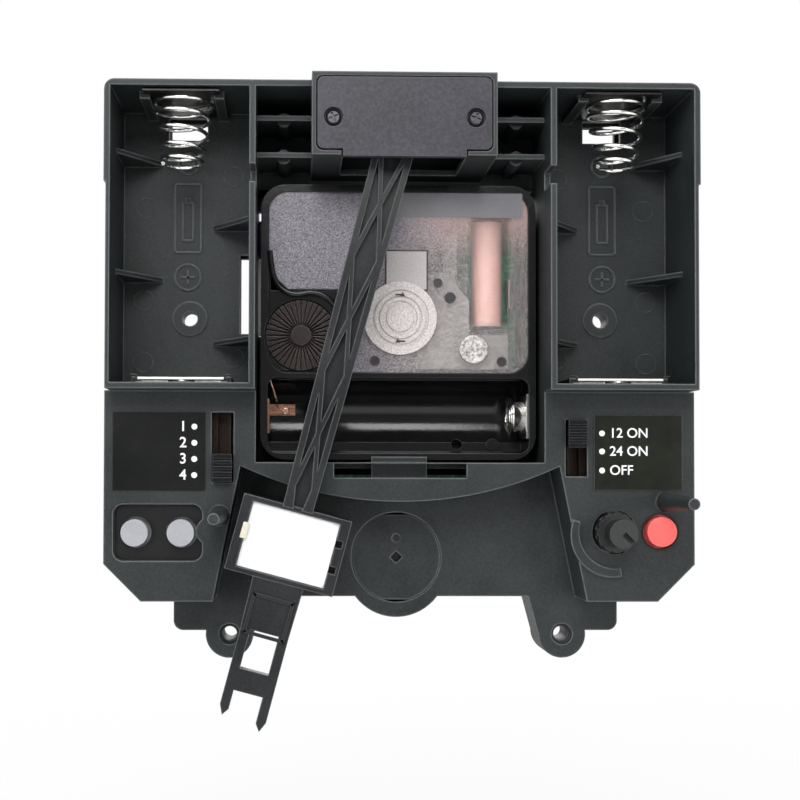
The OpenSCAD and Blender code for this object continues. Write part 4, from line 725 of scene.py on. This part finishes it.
def frosted(name, dark, light, alpha, scale, depth):
    """Frosted clear styrene: pale specks, a crinkled face, and a little of what lies below."""
    material, shader, place = start_finish(name, IOR=1.45)
    soft_edge = rounded_normal(place, 0.15)
    speck = noise(place, scale, 3.0, 0.7)
    bumped = place.node("Bump", Strength=0.9, Distance=depth * mm, Height=speck, Normal=soft_edge)
    cover = speck * 0.2 + alpha - 0.1 + edge_of(place, soft_edge) * 0.2
    feed(shader, Base_Color=blend_of(speck.within(0.35, 0.65), dark, light), Alpha=cover,
         Roughness=speck * 0.3 + 0.2, Normal=bumped)
    return material


axis_x = 0.3
ring_back = cover_face - 0.1
axis_rings = [disc(axis_x, cover_face, 0, 7.5, 0.12)]
for radius, rim in ((7.5, 1.7), (5.3, 0.8), (4.2, 0.7), (2.8, 0)):
    axis_rings.append(disc(axis_x, ring_back, 0, radius, 0.35, rim=rim, softened=0.1))
pale_frost = frosted("pale_frosted_styrene", (0.45, 0.41, 0.405, 1), (0.8, 0.75, 0.74, 1),
                     0.85, 3.0, 0.02)
joined("hand_axis_rings", axis_rings, "housing", pale_frost)
dimple_dark = moulded("dimple_dark", (0.03, 0.028, 0.03, 1), (0.06, 0.056, 0.06, 1),
                      (0.2, 0.19, 0.2, 1), grain=0.006, rough=(0.3, 0.4), edge_radius=0.1)
arrow_back = cover_face - 0.12
arrow_z = 4.75


def turn_arrow(up):
    """A small arrow in the groove between the rings, which points round the axis."""
    tip = disc(axis_x + 0.5 * up, arrow_back, arrow_z * up, 0.6, 0.4, sides=3)
    tail = bar(axis_x - 0.4 * up, arrow_back, arrow_z * up, 1.2, 0.35, 0.4)
    return [tip, tail]


joined("turn_arrows", turn_arrow(1) + turn_arrow(-1), "housing", dimple_dark)

field_x, field_z = 1.6, 9.75
field_wide, field_high = 8.8, 8.4
groove = 0.3
cover_field = bar(field_x, cover_face, field_z, field_wide - 2 * groove, field_high - 2 * groove, 0.3,
                  softened=0.1)
field_frost = frosted("field_frosted_styrene", (0.33, 0.3, 0.3, 1), (0.6, 0.56, 0.56, 1),
                      0.88, 5.0, 0.02)
joined("cover_field", [cover_field], "housing", field_frost)
field_groove = bar(field_x, cover_face, field_z, field_wide, field_high, 0.06, rim=groove)
joined("cover_field_groove", [field_groove], "housing", dimple_dark)

rotor_x, rotor_z = 15.3, -6.3
rotor_boss = [disc(rotor_x, cover_face, rotor_z, 2.9, 0.5, rim=0.7, softened=0.15),
              disc(rotor_x, cover_face, rotor_z, 2.3, 0.3, softened=0.1)]
crinkled = frosted("crinkled_styrene", (0.22, 0.2, 0.2, 1), (0.85, 0.8, 0.79, 1), 0.85, 1.6, 0.25)
joined("rotor_boss", rotor_boss, "housing", crinkled)

dimples = []
for x, z, radius in ((8.0, 7.2, 0.95), (10.5, 4.2, 1.15), (21.0, -8.8, 1.0), (-4.8, -8.7, 1.0)):
    dimples.append(disc(x, cover_face, z, radius, 0.06, sides=32))
    dimples.append(disc(x, cover_face - 0.06, z, radius, 0.1, rim=0.25, softened=0.03, sides=32))
joined("cover_dimples", dimples, "housing", dimple_dark)


# The cover's blank label: a bare strip of grey satin film, stuck along the right of the cover's
# top edge.
strip_x, strip_z = 12.5, 23.1
strip_wide, strip_high = 25.6, 5.0
label_strip = bar(strip_x, cover_face, strip_z, strip_wide, strip_high, 0.08, corner=0.3)
blank_film = moulded("blank_film", (0.17, 0.17, 0.185, 1), (0.22, 0.22, 0.235, 1),
                     (0.4, 0.4, 0.42, 1), grain=0.003, rough=(0.35, 0.45), edge_radius=0.05)
joined("blank_label", [label_strip], "housing", blank_film)


# The cover's edge over the setting wheel: a gloss black bead moulded on the case, drawn in one
# S-shaped sweep from the case's left rim to the wheel's top.
def swept(name, points, radius, sides=8):
    """A round bead or wire through a few points, smoothly; millimetres."""
    curve = bpy.data.curves.new(name, "CURVE")
    curve.dimensions = "3D"
    curve.bevel_depth = radius * mm
    curve.bevel_resolution = sides // 2
    curve.resolution_u = 10
    curve.use_fill_caps = True
    line = curve.splines.new("BEZIER")
    line.bezier_points.add(len(points) - 1)
    for bend, point in zip(line.bezier_points, points):
        bend.co = Vector(point) * mm
        bend.handle_left_type = "AUTO"
        bend.handle_right_type = "AUTO"
    piece = bpy.data.objects.new(name, curve)
    bpy.context.collection.objects.link(piece)
    only(piece)
    bpy.ops.object.convert(target="MESH")
    bpy.ops.object.shade_smooth()
    return bpy.context.object


bead_y = cover_face - 0.1
bead_way = ((-26.2, 13.6), (-25.9, 11.0), (-25.2, 7.9), (-23.5, 5.7), (-21.1, 4.8), (-17.4, 5.1),
            (-15.0, 4.4), (-12.6, 2.2))
bead_points = [(x, bead_y, z) for x, z in bead_way]
joined("cover_edge_bead", [swept("bead", bead_points, 0.6)], "housing", gloss_black)


# The AA cell's leads: a thin enamelled wire that runs from the coil's side down to the plus strip
# and is soldered there, and the spring contact's wire, wound flat against the trough's end.
lead_way = [(-26.2, -15.3, -12.3), (-25.8, -15.2, -13.4), (-24.9, -14.4, -16.2),
            (-24.2, -12.8, -18.4), (-22.6, -12.7, -18.9)]
lead = swept("lead", lead_way, 0.17, sides=6)
solder = disc(-22.9, -12.5, -18.9, 0.75, 0.45, softened=0.3, sides=24)
lead_copper = metal("lead_copper", (0.5, 0.26, 0.17, 1), (0.85, 0.56, 0.42, 1), 0.2)
joined("plus_lead", [lead, solder], "housing", lead_copper)

winds = 3
winding_steps = winds * 12
winding_x, winding_y, winding_z = 23.9, -9.6, -19.9
winding = []
for step in range(winding_steps + 1):
    angle = math.radians(30 * step)
    along = step / winding_steps
    radius = 4.1 - 1.9 * along
    winding.append((winding_x - 0.8 * along, winding_y + radius * math.cos(angle),
                    winding_z + radius * math.sin(angle)))
cell_spring = swept("cell_spring", winding, 0.25, sides=6)
joined("cell_spring_wire", [cell_spring], "housing", nickel)


# The wheels: the ribbed setting wheel is brown acetal, the train and its bridge are natural and
# blue acetal, all moulded, and the minute cannon is turned brass.
brown = moulded("brown_acetal", (0.013, 0.009, 0.009, 1), (0.04, 0.027, 0.025, 1),
                (0.5, 0.4, 0.39, 1), grain=0.01, rough=(0.25, 0.35), edge_radius=0.14,
                corner_reach=0.7)
dress(nodes["setting_wheel"], brown)
acetal = moulded("natural_acetal", (0.6, 0.59, 0.56, 1), (0.7, 0.69, 0.66, 1), (0.8, 0.8, 0.78, 1),
                 grain=0.003, rough=(0.25, 0.35), edge_radius=0.12)
for name in ("train_bridge", "intermediate_wheel", "seconds_wheel", "third_wheel", "minute_wheel",
             "hour_wheel"):
    dress(nodes[name], acetal)
blue = moulded("blue_acetal", (0.03, 0.1, 0.3, 1), (0.05, 0.14, 0.36, 1), (0.2, 0.3, 0.5, 1), grain=0.003,
               rough=(0.25, 0.35), edge_radius=0.12)
dress(nodes["centre_wheel"], blue)
brass = metal("turned_brass", (0.6, 0.4, 0.15, 1), (0.8, 0.58, 0.25, 1), 0.2)
dress(nodes["minute_cannon"], brass)


# The studio: a pale floor below the part, a white surround, and broad soft lamps. The camera
# stands behind the clock, a little left of the hand axis and below it, and looks slightly up.
floor_z = -0.122
alone()
bpy.ops.mesh.primitive_plane_add(size=6, location=(0, 0, floor_z))
floor = bpy.context.object
floor.name = "floor"
pale_floor = bpy.data.materials.new("pale_floor")
pale_floor.use_nodes = True
floor_tree = pale_floor.node_tree
floor_shader = floor_tree.nodes["Principled BSDF"]
floor_shader.inputs["Base Color"].default_value = (0.9, 0.9, 0.9, 1)
floor_shader.inputs["Roughness"].default_value = 0.8
floor_seen = Wire(floor_tree.nodes.new("ShaderNodeLightPath").outputs["Is Camera Ray"])
floor_place = Wire(floor_tree.nodes.new("ShaderNodeTexCoord").outputs["Object"])
from_middle = floor_place.node("VectorMath", {"operation": "LENGTH"}, 1, i0=floor_place)
whiteness = floor_seen * (from_middle.within(0.05, 0.35) * 0.2 + 0.8)
white = floor_tree.nodes.new("ShaderNodeEmission")
white.inputs["Strength"].default_value = 1.0
floor_mix = floor_tree.nodes.new("ShaderNodeMixShader")
floor_tree.links.new(whiteness.socket, floor_mix.inputs[0])
floor_tree.links.new(floor_shader.outputs[0], floor_mix.inputs[1])
floor_tree.links.new(white.outputs[0], floor_mix.inputs[2])
floor_tree.links.new(floor_mix.outputs[0], floor_tree.nodes["Material Output"].inputs["Surface"])
dress(floor, pale_floor)

world = bpy.data.worlds.new("studio")
bpy.context.scene.world = world
world.use_nodes = True
sky = world.node_tree.nodes["Background"]
seen = world.node_tree.nodes.new("ShaderNodeLightPath")
camera_ray = Wire(seen.outputs["Is Camera Ray"])
glossy_ray = Wire(seen.outputs["Is Glossy Ray"])
clear_ray = Wire(seen.outputs["Is Transmission Ray"])
shown = camera_ray.maths("MAXIMUM", camera_ray, clear_ray)
plain_level = 0.22
level = shown + (1 - shown) * (glossy_ray * 0.1 + plain_level)
world.node_tree.links.new(level.socket, sky.inputs["Strength"])
sky.inputs["Color"].default_value = (1, 1, 1, 1)


def lamp(name, place, aim, size, power):
    """A rectangular lamp that looks at a point; metres and watts."""
    bpy.ops.object.light_add(type="AREA", location=place)
    made = bpy.context.object
    made.name = name
    made.data.shape = "RECTANGLE"
    made.data.size = size[0]
    made.data.size_y = size[1]
    made.data.energy = power
    made.rotation_euler = (Vector(aim) - Vector(place)).to_track_quat("-Z", "Y").to_euler()


lamp("key_softbox", (-0.05, -0.34, 0.19), (0, -0.02, 0.02), (0.25, 0.15), 0.95)
lamp("low_left_softbox", (-0.26, -0.38, -0.03), (0, 0, -0.02), (0.1, 0.08), 0.25)
lamp("low_right_softbox", (0.26, -0.38, -0.03), (0, 0, -0.02), (0.1, 0.08), 0.25)
lamp("left_softbox", (-0.45, -0.35, 0.2), (0, 0, 0.01), (0.3, 0.5), 0.65)
lamp("top_softbox", (0.05, -0.2, 0.5), (0, 0, 0), (0.6, 0.35), 1.6)
lamp("right_softbox", (0.5, -0.4, 0.15), (0, 0, 0.0), (0.3, 0.5), 0.45)
lamp("front_softbox", (0.0, 0.6, 0.3), (0, 0, 0), (0.6, 0.6), 3.0)

bpy.ops.object.camera_add(location=(-0.0203, -0.2849, -0.0308),
                          rotation=(math.radians(91.37), math.radians(-0.14), math.radians(-1.21)))
camera = bpy.context.object
camera.data.lens = 59.8
camera.data.sensor_width = 36
camera.data.shift_x = 0.092
camera.data.shift_y = 0.047
camera.data.clip_start = 0.01
bpy.context.scene.camera = camera
bpy.context.scene.view_settings.view_transform = "Standard"
